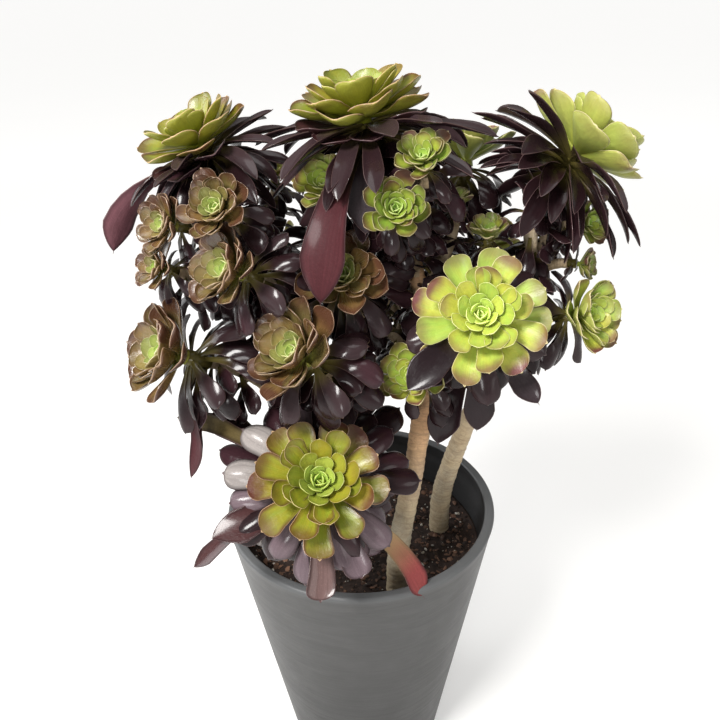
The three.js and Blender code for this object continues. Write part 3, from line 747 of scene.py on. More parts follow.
# Outline and relief of a kind of leaf: foot as a share of the width, length of the rounded end as
# a share of half the width, how square that end is, how straight the sides are, cupped (+) or
# domed (-) at the foot and at the end, tip turned up (+) or down (-), edge ripple, wider by, how
# late it widens, and how straight it runs to its point
Shape = namedtuple("Shape", "foot end square wedge cup_low cup_high hook ripple fuller late point")
SHAPES = {
    "inner": Shape(0.5, 0.9, 2.3, 0.2, 0.16, 0.2, 0.04, 0.0, 1.0, 1.0, 0.5),
    "head": Shape(0.26, 0.8, 2.45, 0.7, 0.26, 0.26, 0.03, 0.035, 1.02, 1.05, 0.5),
    "skirt": Shape(0.18, 1.15, 2.2, 0.0, 0.3, -0.52, -0.11, 0.012, 1.1, 1.6, 0.5),
    "strap": Shape(0.34, 2.6, 1.7, 0.1, 0.34, 0.26, -0.03, 0.05, 0.9, 1.0, 0.65),
    "old": Shape(0.3, 1.7, 1.6, 0.75, 0.34, 0.1, -0.03, 0.05, 1.05, 1.0, 0.8),
    "thicket": Shape(0.18, 1.1, 2.2, 0.0, 0.3, -0.5, -0.12, 0.03, 1.1, 1.6, 0.5),
}

# Leaves of a table and of the gaps are numbered from here on, so that each has draws of its own
OLD_ORDER = 200
MORE_ORDER = 300
BETWEEN_ORDER = 60

# Rosettes under this radius have fewer leaves inside the open ones
SMALL_ROSETTE = 18


def unit(vectors):
    """Each vector at a length of 1."""
    return vectors / np.linalg.norm(vectors, axis=-1, keepdims=True)


def axes_of(rosette):
    """Seat, axis, and the slope and level directions round the axis."""
    facing, tilt = math.radians(rosette.facing), math.radians(rosette.tilt)
    ahead = np.array([math.cos(facing), math.sin(facing), 0])
    axis = math.sin(tilt) * ahead + (0, 0, math.cos(tilt))
    slope = math.cos(tilt) * ahead - (0, 0, math.sin(tilt))
    return Axes(np.array(rosette.seat, float), axis, slope, np.cross(axis, slope))


def skirt_drop(rosette):
    return HABITS[rosette.habit].skirt_height * rosette.radius


def angle_round(rosette, order, chance, sway):
    """Angle of a leaf round its rosette: golden angles, and a little sway by chance."""
    return math.radians(rosette.spin) + order * GOLDEN_ANGLE + (chance - 0.5) * sway


def head_leaves(rosette, plant):
    """Open leaves of the live head, as the solids have them."""
    habit = HABITS[rosette.habit]
    radius = rosette.radius
    count = habit.heart + rosette.head
    leaves = []
    for i in range(habit.heart, count):
        age = i / (count - 1)
        spread = 1 - (1 - age) ** 2
        leaves.append(Leaf(
            around=angle_round(rosette, i, scatter(plant, i, 1), 0.14),
            tilt=math.radians(mix(*habit.head_tilt, spread) + (scatter(plant, i, 2) - 0.5) * 4),
            length=radius * mix(*habit.head_length, spread) * (0.94 + 0.12 * scatter(plant, i, 3)),
            width=radius * mix(*habit.head_width, spread),
            bend=math.radians(mix(*habit.head_bend, age)),
            height=radius * (habit.core_height * 0.86 * (1 - age) + habit.keel * 0.6) + ROOT_MARGIN,
            sags=False, age=age, order=i, kind="head",
        ))
    return leaves


def inner_leaves(rosette, plant):
    """Leaves between the growing point and the open ones, lying over each other like scales."""
    habit = HABITS[rosette.habit]
    open_leaf = head_leaves(rosette, plant)[0]
    radius = rosette.radius
    count = habit.inner if radius > SMALL_ROSETTE else round(habit.inner * 0.7)
    open_reach = open_leaf.length * math.sin(open_leaf.tilt + open_leaf.bend / 2)
    leaves = []
    for k in range(count):
        share = (k + 0.5) / count
        order = habit.heart - count + k
        tilt = mix(0.2, open_leaf.tilt - 0.04, share ** 0.5)
        bend = mix(-0.45, -0.12, share)
        reach = mix(0.02 * radius, open_reach * 0.95, share ** 1.3)
        leaves.append(Leaf(
            around=angle_round(rosette, order, scatter(plant, order, 1), 0.2),
            tilt=tilt + (scatter(plant, order, 2) - 0.5) * 0.08,
            length=reach / math.sin(max(0.24, tilt + bend / 2)),
            width=mix(0.12 * radius, open_leaf.width * habit.fuller, share ** 0.7),
            bend=bend,
            height=mix(radius * habit.core_height * 0.9, open_leaf.height + 0.5, share),
            sags=False, age=open_leaf.age * share ** 0.8, order=order, kind="inner",
        ))
    return leaves


def between_leaves(rosette, plant, open_leaves):
    """More open leaves, each in the gap that two of the others leave."""
    count = round(len(open_leaves) * HABITS[rosette.habit].between)
    return [
        leaf._replace(
            around=leaf.around + GOLDEN_ANGLE / 2 + (scatter(plant, leaf.order, 7) - 0.5) * 0.2,
            tilt=leaf.tilt - 0.09, length=leaf.length * 0.95, height=leaf.height + 0.8,
            order=leaf.order + BETWEEN_ORDER,
        )
        for leaf in open_leaves[:count]
    ]


def skirt_leaf(rosette, plant, age, order, tint):
    habit = HABITS[rosette.habit]
    radius = rosette.radius
    chance = [scatter(plant, order, purpose) for purpose in range(5)]
    return Leaf(
        around=angle_round(rosette, order, chance[1], 0.2),
        tilt=math.radians(mix(*habit.skirt_tilt, age) + (chance[2] - 0.5) * 6),
        length=radius * rosette.reach * mix(*habit.skirt_length, age) * (0.9 + 0.2 * chance[3]),
        width=radius * mix(*habit.skirt_width, age),
        bend=math.radians(habit.skirt_bend * (0.7 + 0.6 * chance[4])),
        height=-mix(ROOT_MARGIN, 0.62 * skirt_drop(rosette), age),
        sags=True, age=age, order=order, kind="strap" if rosette.habit == "cup" else "skirt", tint=tint,
    )


# Angles round the front rosette between which its skirt leaves fade, the first that fits; on its lit side
# they take a painted silver sheen, and lower down a mauve lightened by painted sheen
FRONT_FADES = [(222, 292, "silver"), (353, 372, "pale"), (300, 430, "dusky"), (0, 360, "plum")]


def skirt_tint(rosette, plant, order):
    """Skirt leaves fade round the front rosette, with a painted silver sheen on its lit side and a partly
    painted one lower down; a few elsewhere are plum.
    """
    if rosette.name != "front":
        return "plum" if scatter(plant, order, 8) > 0.86 else "none"
    around = (rosette.spin + order * math.degrees(GOLDEN_ANGLE)) % 360
    fits = (tint for low, high, tint in FRONT_FADES if low < around < high or around + 360 < high)
    return next(fits)


def skirt_leaves(rosette, plant):
    """Older leaves under the head, as the solids have them."""
    first = HABITS[rosette.habit].heart + rosette.head
    return [
        skirt_leaf(
            rosette, plant, (i + 0.5) / rosette.skirt, first + i, skirt_tint(rosette, plant, first + i)
        )
        for i in range(rosette.skirt)
    ]


def extra_leaves(rosette, plant, share):
    """More old leaves between the others, turned by half the golden angle."""
    tall = rosette.habit == "cup"
    count = round(rosette.skirt * share * (2.6 if tall else 1.3))
    first = HABITS[rosette.habit].heart + rosette.head
    leaves = []
    for i in range(count):
        leaf = skirt_leaf(rosette, plant, (i + 0.25) / count * 0.9, first + i + 0.5, "none")
        leaves.append(leaf._replace(
            length=leaf.length * mix(0.98, 0.74, i / count), bend=leaf.bend + (0.25 if tall else 0),
            width=leaf.width * mix(1.25 if tall else 1.1, 0.85, i / count),
        ))
    return leaves


def listed_leaves(table, rosette, order):
    """Leaves that a table lists one by one for a rosette."""
    rows = [Listed(*row) for row in table.get(rosette.name, [])]
    return [
        Leaf(
            math.radians(row.around), math.radians(row.tilt), row.length, row.width,
            math.radians(row.bend), row.height, sags=True, age=1, order=order + i, kind=row.kind,
            tint=row.tint, turn=math.radians(row.turn),
        )
        for i, row in enumerate(rows)
    ]


def outward(axes, leaf):
    """Direction in which a leaf leaves its rosette's axis."""
    return axes.slope * math.cos(leaf.around) + axes.level * math.sin(leaf.around)


def midrib(axes, leaf, shares):
    """Points, forward, across and upper directions of a leaf's midrib at shares of its length."""
    start = axes.axis * math.cos(leaf.tilt) + outward(axes, leaf) * math.sin(leaf.tilt)
    side = axes.level * math.cos(leaf.around) - axes.slope * math.sin(leaf.around)
    pull = np.array([0.0, 0.0, -1.0]) if leaf.sags else -np.cross(start, side)
    reach = np.linalg.norm(np.cross(start, pull)) if leaf.sags else 1.0
    turn = unit(pull - start * pull.dot(start))
    bend = leaf.bend * reach or 1e-6
    angle = bend * np.asarray(shares, float)[:, None]
    root = axes.seat + axes.axis * leaf.height
    forward = start * np.cos(angle) + turn * np.sin(angle)
    points = root + leaf.length / bend * (start * np.sin(angle) + turn * (1 - np.cos(angle)))
    across = unit(side - forward * (forward @ side)[:, None])
    return points, forward, across, np.cross(forward, across)


def detoured(leaf, detour):
    tilt, bend, length = detour
    return leaf._replace(
        tilt=leaf.tilt + math.radians(tilt), bend=leaf.bend + math.radians(bend),
        length=leaf.length * length,
    )


# How far a solid leaf's tip stands over its midrib, and how near a corner has to be to be that tip
SOLID_TIP_RISE = 0.6
TIP_MATCH = 0.2


def as_built(axes, leaves, node):
    """The leaves with the bend that each has in the node's solid, found by its tip."""
    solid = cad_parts[node].data
    corners = np.empty(len(solid.vertices) * 3, np.float32)
    solid.vertices.foreach_get("co", corners)
    corners = corners.reshape(-1, 3) / MM
    found = []
    for leaf in leaves:
        for detour in DETOURS:
            bent = detoured(leaf, detour)
            point, _, _, upper = midrib(axes, bent, [1])
            tip = point[0] + upper[0] * SOLID_TIP_RISE
            if np.abs(corners - tip).sum(1).min() < TIP_MATCH:
                found.append(bent)
                break
    return found


# Angles of the rows round a leaf's end, and columns across it as shares of half its width
END_ANGLES = (14, 28, 42, 54, 65, 75, 83)
WIDE_COLUMNS = (-1, -0.92, -0.74, -0.5, -0.25, 0, 0.25, 0.5, 0.74, 0.92, 1)
NARROW_COLUMNS = (-1, -0.88, -0.55, 0, 0.55, 0.88, 1)
SMALL_LEAF = 20
CURLED_WIDTH = 16
RIM_THICKNESS = 0.35


@cache
def leaf_faces(rows, columns):
    """Faces of a closed leaf: an upper sheet, a lower sheet without its edges, and a tip."""
    lower = rows * columns
    tip = lower + rows * (columns - 2)

    def under(row, column):
        if column in (0, columns - 1):
            return row * columns + column
        return lower + row * (columns - 2) + column - 1

    faces = []
    for row in range(rows - 1):
        for column in range(columns - 1):
            a = row * columns + column
            faces.append([a, a + 1, a + 1 + columns, a + columns])
            b, c = under(row, column + 1), under(row, column)
            faces.append([b, c, under(row + 1, column), under(row + 1, column + 1)])
    last = rows - 1
    for column in range(columns - 1):
        faces.append([last * columns + column, last * columns + column + 1, tip])
        faces.append([under(last, column + 1), under(last, column), tip])
    ring = [under(0, column) for column in range(columns)]
    faces.append(ring + [column for column in range(columns - 2, 0, -1)])
    return faces


def leaf_outline(leaf, shape, fuller, rows, chance):
    """Shares along a leaf, columns across it, and its width at each share, 1 at the widest."""
    small = leaf.length < SMALL_LEAF or leaf.kind == "thicket"
    columns = np.array(NARROW_COLUMNS if small else WIDE_COLUMNS)
    rows = max(5, rows - 3) if small else rows
    ends = np.radians(END_ANGLES[1::2] if small else END_ANGLES)
    widest = 1 - min(0.45, leaf.width / 2 * fuller * shape.end * (0.85 + 0.3 * chance[6]) / leaf.length)
    shares = np.concatenate([np.linspace(0, widest, rows), widest + (1 - widest) * np.sin(ends)])
    grown = (shares[:rows] / widest) ** shape.late
    square = shape.square + 0.8 * (chance[0] - 0.4)
    end = (1 - np.sin(ends) ** square) ** shape.point
    wedge = mix(grown * grown * (3 - 2 * grown), grown ** 1.15, shape.wedge)
    return shares, columns, np.concatenate([mix(shape.foot, 1, wedge), end])


def leaf_rise(leaf, shape, habit, shares, columns, outline, half, chance):
    """Height of a leaf's face over its midrib: cup or dome, hooked tip, ripple, twist and curl."""
    late = smooth(0.3, 0.85, shares)
    high = habit.cup * (0.6 + 0.8 * chance[9]) if leaf.kind == "head" else shape.cup_high
    rise = mix(shape.cup_low, high, late) * half * columns ** 2
    hook = shape.hook * (0.5 + chance[1]) * leaf.length
    rise = rise + hook * (np.clip(shares - 0.6, 0, 1) / 0.4) ** 2
    phase = shares * 9 + chance[2] * 6 + np.sign(columns) * 1.2
    rise = rise + shape.ripple * leaf.width * np.sin(phase) * np.abs(columns) ** 3 * outline
    if leaf.kind != "inner":
        rise = rise + (chance[3] - 0.5) * 0.4 * late * half * columns
    if leaf.kind == "old" and leaf.width < CURLED_WIDTH:
        curl = np.sin(shares * 7.5 + chance[8] * 6) * smooth(0.2, 0.8, shares)
        rise = rise + curl * leaf.length * 0.04
    return rise, hook


def add_leaf(heap, axes, leaf, plant, habit, rows):
    """Adds one leaf: a spoon blade with a cupped or domed face, a thin rim and a small point."""
    shape = SHAPES[leaf.kind]
    chance = [scatter(plant, leaf.order, purpose) for purpose in range(11, 21)]
    fuller = shape.fuller * (habit.fuller if leaf.kind == "head" else 1)
    shares, columns, outline = leaf_outline(leaf, shape, fuller, rows, chance)
    points, forward, flat, normal = midrib(axes, leaf, shares)
    shares, outline = shares[:, None], outline[:, None]
    turn = leaf.turn * smooth(0.1, 0.7, shares)
    across = flat * np.cos(turn) + normal * np.sin(turn)
    upper = normal * np.cos(turn) - flat * np.sin(turn)

    half = leaf.width / 2 * fuller * outline
    wide = half * columns
    lean = (chance[7] - 0.5) * 0.24 * leaf.width * smooth(0.72, 1, shares) * fuller
    rise, hook = leaf_rise(leaf, shape, habit, shares, columns, outline, half, chance)
    keel = habit.keel * leaf.length * 0.6
    body = (keel * (1 - 0.6 * smooth(0.7, 1, shares)) + 0.5) * outline ** 0.5
    thick = RIM_THICKNESS + body * (1 - columns ** 2)
    sheet = points[:, None] + across[:, None] * (wide + lean)[..., None]
    sheet = sheet + upper[:, None] * rise[..., None]
    below = sheet - upper[:, None] * thick[..., None]
    point = 0.014 + 0.022 * chance[4]
    tip = points[-1] + forward[-1] * leaf.length * (1 - shares[-1] + point)
    tip = tip + across[-1] * lean[-1] * 1.1 + upper[-1] * (rise[-1].mean() + hook * 0.1)
    inner = slice(1, -1)
    vertices = np.concatenate([sheet.reshape(-1, 3), below[:, inner].reshape(-1, 3), tip[None]])

    def spread(values, last):
        """A number for each vertex, from one for each place of the sheet and one for the tip."""
        values = np.broadcast_to(values, wide.shape)
        return np.concatenate([values.ravel(), values[:, inner].ravel(), [last]])

    to_side = half - np.abs(wide)
    to_end = leaf.length * (1 - shares)
    side = np.zeros(len(vertices))
    side[:wide.size] = 1
    tint, tinted = TINTS[leaf.tint]
    heap.add(
        vertices, leaf_faces(*wide.shape), along=spread(shares, 1.0), across=spread(columns, 0.0),
        edge_distance=spread(np.minimum(to_side, to_end + to_side * 0.3), 0.0), age=leaf.age,
        chance=chance[5], sun=outward(axes, leaf)[2], tinted=tinted, upper_side=side,
        tint=np.array([tint]),
    )


def add_core(heap, axes, profile, sides=10):
    """Adds a turned core on the rosette's axis, from radii and heights."""
    ring = circle(sides, axes.slope, axes.level)
    rings = [axes.seat + axes.axis * height + ring * radius for radius, height in profile]
    heap.add(
        np.concatenate(rings), tube_faces(len(profile), sides), along=0.1, across=0.0,
        edge_distance=9.0, age=0.7, chance=0.5, sun=0.0, tinted=0.0, upper_side=1.0,
        tint=np.zeros((1, 3)),
    )


# Shares of its width that a leaf keeps off the leaves of others, and off those of its own rosette
CLEAR_OF_OTHERS = 0.36
CLEAR_OF_OWN = 0.2


class Room:
    """Space already taken by leaves, to keep added leaves off their neighbours."""

    def __init__(self):
        self.samples = []
        self.owners = []
        self.tree = None

    def note(self, axes, leaf, owner):
        points = midrib(axes, leaf, (0.3, 0.45, 0.6, 0.75, 0.9, 1.0))[0]
        self.samples.extend(points)
        self.owners.extend([owner] * len(points))

    def settle(self):
        self.tree = kdtree.KDTree(len(self.samples))
        for i, sample in enumerate(self.samples):
            self.tree.insert(Vector(sample), i)
        self.tree.balance()

    def is_clear(self, axes, leaf, owner, gap=2.5):
        """Whether a leaf keeps off those of others, and doesn't lie in one of its own."""
        reach = leaf.width * CLEAR_OF_OTHERS + gap
        for point in midrib(axes, leaf, (0.45, 0.6, 0.75, 0.9, 1.0))[0]:
            for _, index, distance in self.tree.find_range(Vector(point), reach):
                if self.owners[index] != owner or distance < leaf.width * CLEAR_OF_OWN:
                    return False
        return True


# Stems


def distances(line):
    """Distance of each point of a line from its start, along the line."""
    return np.concatenate([[0], np.cumsum(np.linalg.norm(np.diff(line, axis=0), axis=1))])


def evenly(line, spacing):
    """The same line with points at an even spacing near the one asked for."""
    lengths = distances(line)
    steps = max(4, round(lengths[-1] / spacing))
    at = np.linspace(0, lengths[-1], steps + 1)
    return np.stack([np.interp(at, lengths, line[:, k]) for k in range(3)], axis=1)


def along_curve(points, spacing):
    """Points at an even spacing along a centripetal curve through the given points."""
    p = np.array(points, float)
    p = np.concatenate([[2 * p[0] - p[1]], p, [2 * p[-1] - p[-2]]])
    t = np.linspace(0, 1, 60, endpoint=False)[:, None]
    spans = []
    for a, b, c, d in zip(p, p[1:], p[2:], p[3:]):
        gap = [max(np.linalg.norm(v - u) ** 0.5, 1e-4) for u, v in ((a, b), (b, c), (c, d))]
        leave = ((b - a) / gap[0] - (c - a) / (gap[0] + gap[1]) + (c - b) / gap[1]) * gap[1]
        arrive = ((c - b) / gap[1] - (d - b) / (gap[1] + gap[2]) + (d - c) / gap[2]) * gap[1]
        square = -3 * b + 3 * c - 2 * leave - arrive
        cube = 2 * b - 2 * c + leave + arrive
        spans.append(b + leave * t + square * t ** 2 + cube * t ** 3)
    return evenly(np.concatenate([*spans, p[-2:-1]]), spacing)


# How far a trunk runs along its top rosette's axis, and the share of a branch that eases in or out
TOP_RUN = 14
BRANCH_EASE = 0.4


def under_skirt(rosette):
    """Where a branch ends under a rosette's skirt, and the rosette's axis."""
    axes = axes_of(rosette)
    return axes.seat - axes.axis * (skirt_drop(rosette) + SEAT_GAP), axes.axis


def trunk_line(trunk, soil_top, spacing):
    """A trunk goes up from its root through its points and arrives along its top rosette's axis."""
    end, axis = under_skirt(BY_NAME[trunk.top])
    points = [(x, y, soil_top + rise) for x, y, rise in trunk.points]
    points.insert(0, (*trunk.points[0][:2], soil_top - ROOT_DEPTH))
    return along_curve([*points, end - axis * TOP_RUN, end], spacing)


def branch_line(trunk, share, rosette, spacing):
    """A branch leaves the trunk along it and arrives along the rosette's axis."""
    place = share * (len(trunk) - 1)
    i = min(int(place), len(trunk) - 2)
    step = trunk[i + 1] - trunk[i]
    start = trunk[i] + step * (place - i)
    end, axis = under_skirt(rosette)
    reach = np.linalg.norm(end - start) * BRANCH_EASE
    near, far = start + unit(step) * reach, end - axis * reach
    t = np.linspace(0, 1, 80)[:, None]
    line = start * (1 - t) ** 3 + 3 * near * t * (1 - t) ** 2 + 3 * far * t ** 2 * (1 - t) + end * t ** 3
    return evenly(line, spacing)


def add_tube(heap, line, radii, sides, seed, warm):
    """Adds a closed bark tube with swollen rings along a line; warm is its warmth low and high."""
    count = len(line)
    forward = unit(np.gradient(line, axis=0))
    normal = np.cross(forward[0], (0.3, 1, 0.1))
    turn = circle(sides)
    length = distances(line)
    vertices = np.empty((count, sides, 3))
    bark = np.empty((count, sides, 3))
    for i in range(count):
        normal = unit(normal - forward[i] * normal.dot(forward[i]))
        ring = circle(sides, normal, np.cross(forward[i], normal))
        around = turn + (0, 0, length[i] * 0.12 + seed)
        lumps = np.array([noise.noise(Vector(place)) for place in around * (1.4, 1.4, 1.0)])
        rings = 0.035 * math.sin(length[i] * 1.15 + seed + 1.7 * math.sin(length[i] * 0.13))
        vertices[i] = line[i] + ring * (radii[i] * (1 + 0.07 * lumps + rings))[:, None]
        bark[i] = around * (radii[i], radii[i], 0) + (seed * 40, 0, length[i])
    warmth = mix(*warm, smooth(0.3, 0.5, length / length[-1]))
    heap.add(
        vertices.reshape(-1, 3), tube_faces(count, sides), bark_place=bark.reshape(-1, 3),
        warm=np.repeat(warmth, sides),
    )


# Operators

Lamp = namedtuple("Lamp", "name place size energy colour")

# Studio lamps, sky, floor and camera, in metres and watts
LAMPS = [
    Lamp("key", (-0.65, -0.85, 1.5), 0.5, 38, (1.0, 0.985, 0.96)),
    Lamp("overhead", (0.1, 0.1, 2.2), 1.2, 14, (1.0, 0.99, 0.98)),
    Lamp("window", (-1.3, 0.35, 0.8), 0.8, 11, (0.97, 0.985, 1.0)),
    Lamp("fill", (1.2, -0.9, 0.8), 0.7, 4, (1.0, 0.97, 0.94)),
    Lamp("front", (-0.5, -1.7, 0.75), 0.45, 9, (1.0, 0.99, 0.98)),
]
LIT_PLACE = Vector((0, 0, 0.4))
SKY = (1.0, 0.99, 0.975, 1)
SEEN_SKY_STRENGTH = 0.96
FLOOR_RADIUS = 80.0
LOOK_AT = Vector((0.002, 0, 0.366))
LENS = 36
SENSOR = 36


def add_lamp(lamp):
    """A round soft lamp that shines at the plant."""
    light = bpy.data.lights.new(lamp.name, "AREA")
    light.shape = "DISK"
    light.size = lamp.size
    light.energy = lamp.energy
    light.color = lamp.colour
    made = new_object(lamp.name, light)
    made.location = lamp.place
    made.rotation_euler = (LIT_PLACE - Vector(lamp.place)).to_track_quat("-Z", "Y").to_euler()


def white_room(strength):
    """Even white light of the given strength; the camera sees it paler than it shines."""
    world = bpy.data.worlds.new("soft white room")
    room = Nodes(world)
    background, output = (world.node_tree.nodes[name] for name in ("Background", "World Output"))
    room.fill(background, {"Color": SKY, "Strength": strength})
    seen = room.add("ShaderNodeBackground", None, {"Color": SKY, "Strength": SEEN_SKY_STRENGTH})[0]
    by_camera = room.add("ShaderNodeLightPath")[0]
    lit = Value(room, background.outputs[0])
    both = room.add("ShaderNodeMixShader", None, {0: by_camera, 1: lit, 2: seen})[0]
    room.fill(output, {"Surface": both})
    return world


class AEONIUM_OT_stage(bpy.types.Operator):
    """Sets the pale floor, the soft studio light and the camera."""

    bl_idname = "aeonium.stage"
    bl_label = "Stage"

    def execute(self, context):
        settings = context.scene.aeonium_stage
        context.scene.world = white_room(settings.world_strength)
        for lamp in LAMPS:
            add_lamp(lamp)

        disc = bmesh.new()
        bmesh.ops.create_circle(disc, cap_ends=True, segments=96, radius=FLOOR_RADIUS)
        mesh = bpy.data.meshes.new("floor")
        disc.to_mesh(mesh)
        disc.free()
        mesh.materials.append(floor_finish())
        plate = new_object("floor", mesh)

        lens = bpy.data.cameras.new("camera")
        lens.lens = LENS
        lens.sensor_width = SENSOR
        camera = new_object("camera", lens)
        back = Vector((0, -math.cos(settings.elevation), math.sin(settings.elevation)))
        level = Vector((1, 0, 0))
        turn = Matrix((level, back.cross(level), back)).transposed()
        turn = turn @ Matrix.Rotation(settings.roll, 3, "Z")
        camera.matrix_world = Matrix.Translation(LOOK_AT + back * settings.distance) @ turn.to_4x4()
        context.scene.camera = camera
        context.scene.view_settings.view_transform = "Standard"
        return {"FINISHED"}


# Pot: how far in and how high its foot's rounding runs, the lip's width, roundings and depth,
# rings up the wall, inside it and round a rounding, and the drain holes
FOOT_ROUND = [(3.2, 0), (1.4, 0.5)]
LIP_WIDTH = 7.5
LIP_OUTER_ROUND = 2.6
LIP_INNER_ROUND = 2.0
LIP_DEPTH = 10
WALL_RINGS = 60
INNER_RINGS = 30
ROUND_RINGS = 7
POT_SIDES = 128
DRAIN_HOLES = 5
DRAIN_RADIUS = 5
DRAIN_PLACE = 40
DRILL_HEIGHT = 3
DRILL_LENGTH = 20
Pot = namedtuple("Pot", "height rim foot wall")


def pot_sizes(context):
    pot = context.scene.aeonium_pot
    return Pot(*(size / MM for size in (pot.height, pot.rim_radius, pot.base_radius, pot.wall)))


def soil_level(context):
    return pot_sizes(context).height - SOIL_DEPTH_BELOW_RIM


def wall_radius(pot, z):
    """Outer radius of the pot's tapered wall at a height."""
    return mix(pot.foot, pot.rim, z / pot.height)


class AEONIUM_OT_pot(bpy.types.Operator):
    """Turns the tapered pot with its lip and drain holes."""

    bl_idname = "aeonium.pot"
    bl_label = "Pot"

    def execute(self, context):
        pot = pot_sizes(context)
        height, rim, foot, wall = pot
        arc = np.radians(np.linspace(0, 90, ROUND_RINGS))
        profile = [(foot - inward, z) for inward, z in FOOT_ROUND] + [(wall_radius(pot, 1.8), 1.8)]
        profile += [(wall_radius(pot, z), z) for z in np.linspace(5, height - 6, WALL_RINGS)]
        for centre, size, ways in (
            (rim - LIP_OUTER_ROUND, LIP_OUTER_ROUND, (np.cos(arc), np.sin(arc))),
            (rim - LIP_WIDTH + LIP_INNER_ROUND, LIP_INNER_ROUND, (-np.sin(arc), np.cos(arc))),
        ):
            profile += [(centre + size * out, height - size + size * up) for out, up in zip(*ways)]
        lip_top = len(profile) - ROUND_RINGS
        inside_top = height - LIP_DEPTH
        profile += [(rim - LIP_WIDTH, height - 4), (wall_radius(pot, inside_top) - wall, inside_top)]
        inside = np.linspace(inside_top - 4, POT_FLOOR + 3, INNER_RINGS)
        profile += [(wall_radius(pot, z) - wall, z) for z in inside]
        profile += [(wall_radius(pot, POT_FLOOR) - wall - 3, POT_FLOOR)]
        radii, heights = (np.repeat(column, POT_SIDES) for column in zip(*profile))
        rows = np.repeat(np.arange(len(profile)), POT_SIDES)
        finish = pot_finish(tuple(context.scene.aeonium_pot.colour))
        made = piece_of(
            "pot_wall", np.concatenate([circle(POT_SIDES) * r + (0, 0, z) for r, z in profile]),
            tube_faces(len(profile), POT_SIDES), finish,
            {
                "paler_rim": smooth(height - 7, height - 1, heights) * (rows < lip_top + 6),
                "inside": ((rows > lip_top + 4) & (radii < rim - 2)).astype(float),
            },
        )
        self.drill(made)
        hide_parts("pot")
        return {"FINISHED"}

    def drill(self, made):
        """Cuts the drain holes through the floor."""
        cutter = bmesh.new()
        for place in (circle(DRAIN_HOLES) * DRAIN_PLACE + (0, 0, DRILL_HEIGHT)) * MM:
            bmesh.ops.create_cone(
                cutter, cap_ends=True, segments=24, radius1=DRAIN_RADIUS * MM, radius2=DRAIN_RADIUS * MM,
                depth=DRILL_LENGTH * MM, matrix=Matrix.Translation(place),
            )
        mesh = bpy.data.meshes.new("drill")
        cutter.to_mesh(mesh)
        cutter.free()
        drill = new_object("drill", mesh)
        cut = made.modifiers.new("drain holes", "BOOLEAN")
        cut.operation = "DIFFERENCE"
        cut.solver = "EXACT"
        cut.object = drill
        view = bpy.context.evaluated_depsgraph_get()
        solid = bpy.data.meshes.new_from_object(made.evaluated_get(view), depsgraph=view)
        made.modifiers.remove(cut)
        made.data = solid
        solid.set_sharp_from_angle(angle=math.radians(40))
        bpy.data.objects.remove(drill)


# Soil: rings and sides of its surface, the strip at the wall where it goes level, then least and
# greatest size of a bit and how flat it is
SOIL_RINGS = 46
SOIL_SIDES = 150
LEVEL_STRIP = 6
SOIL_SEED = 7
CHIP_SIZES, CHIP_FLATNESS = (0.8, 3.2), 0.42
GRAIN_SIZES, GRAIN_FLATNESS = (0.7, 1.9), 0.8


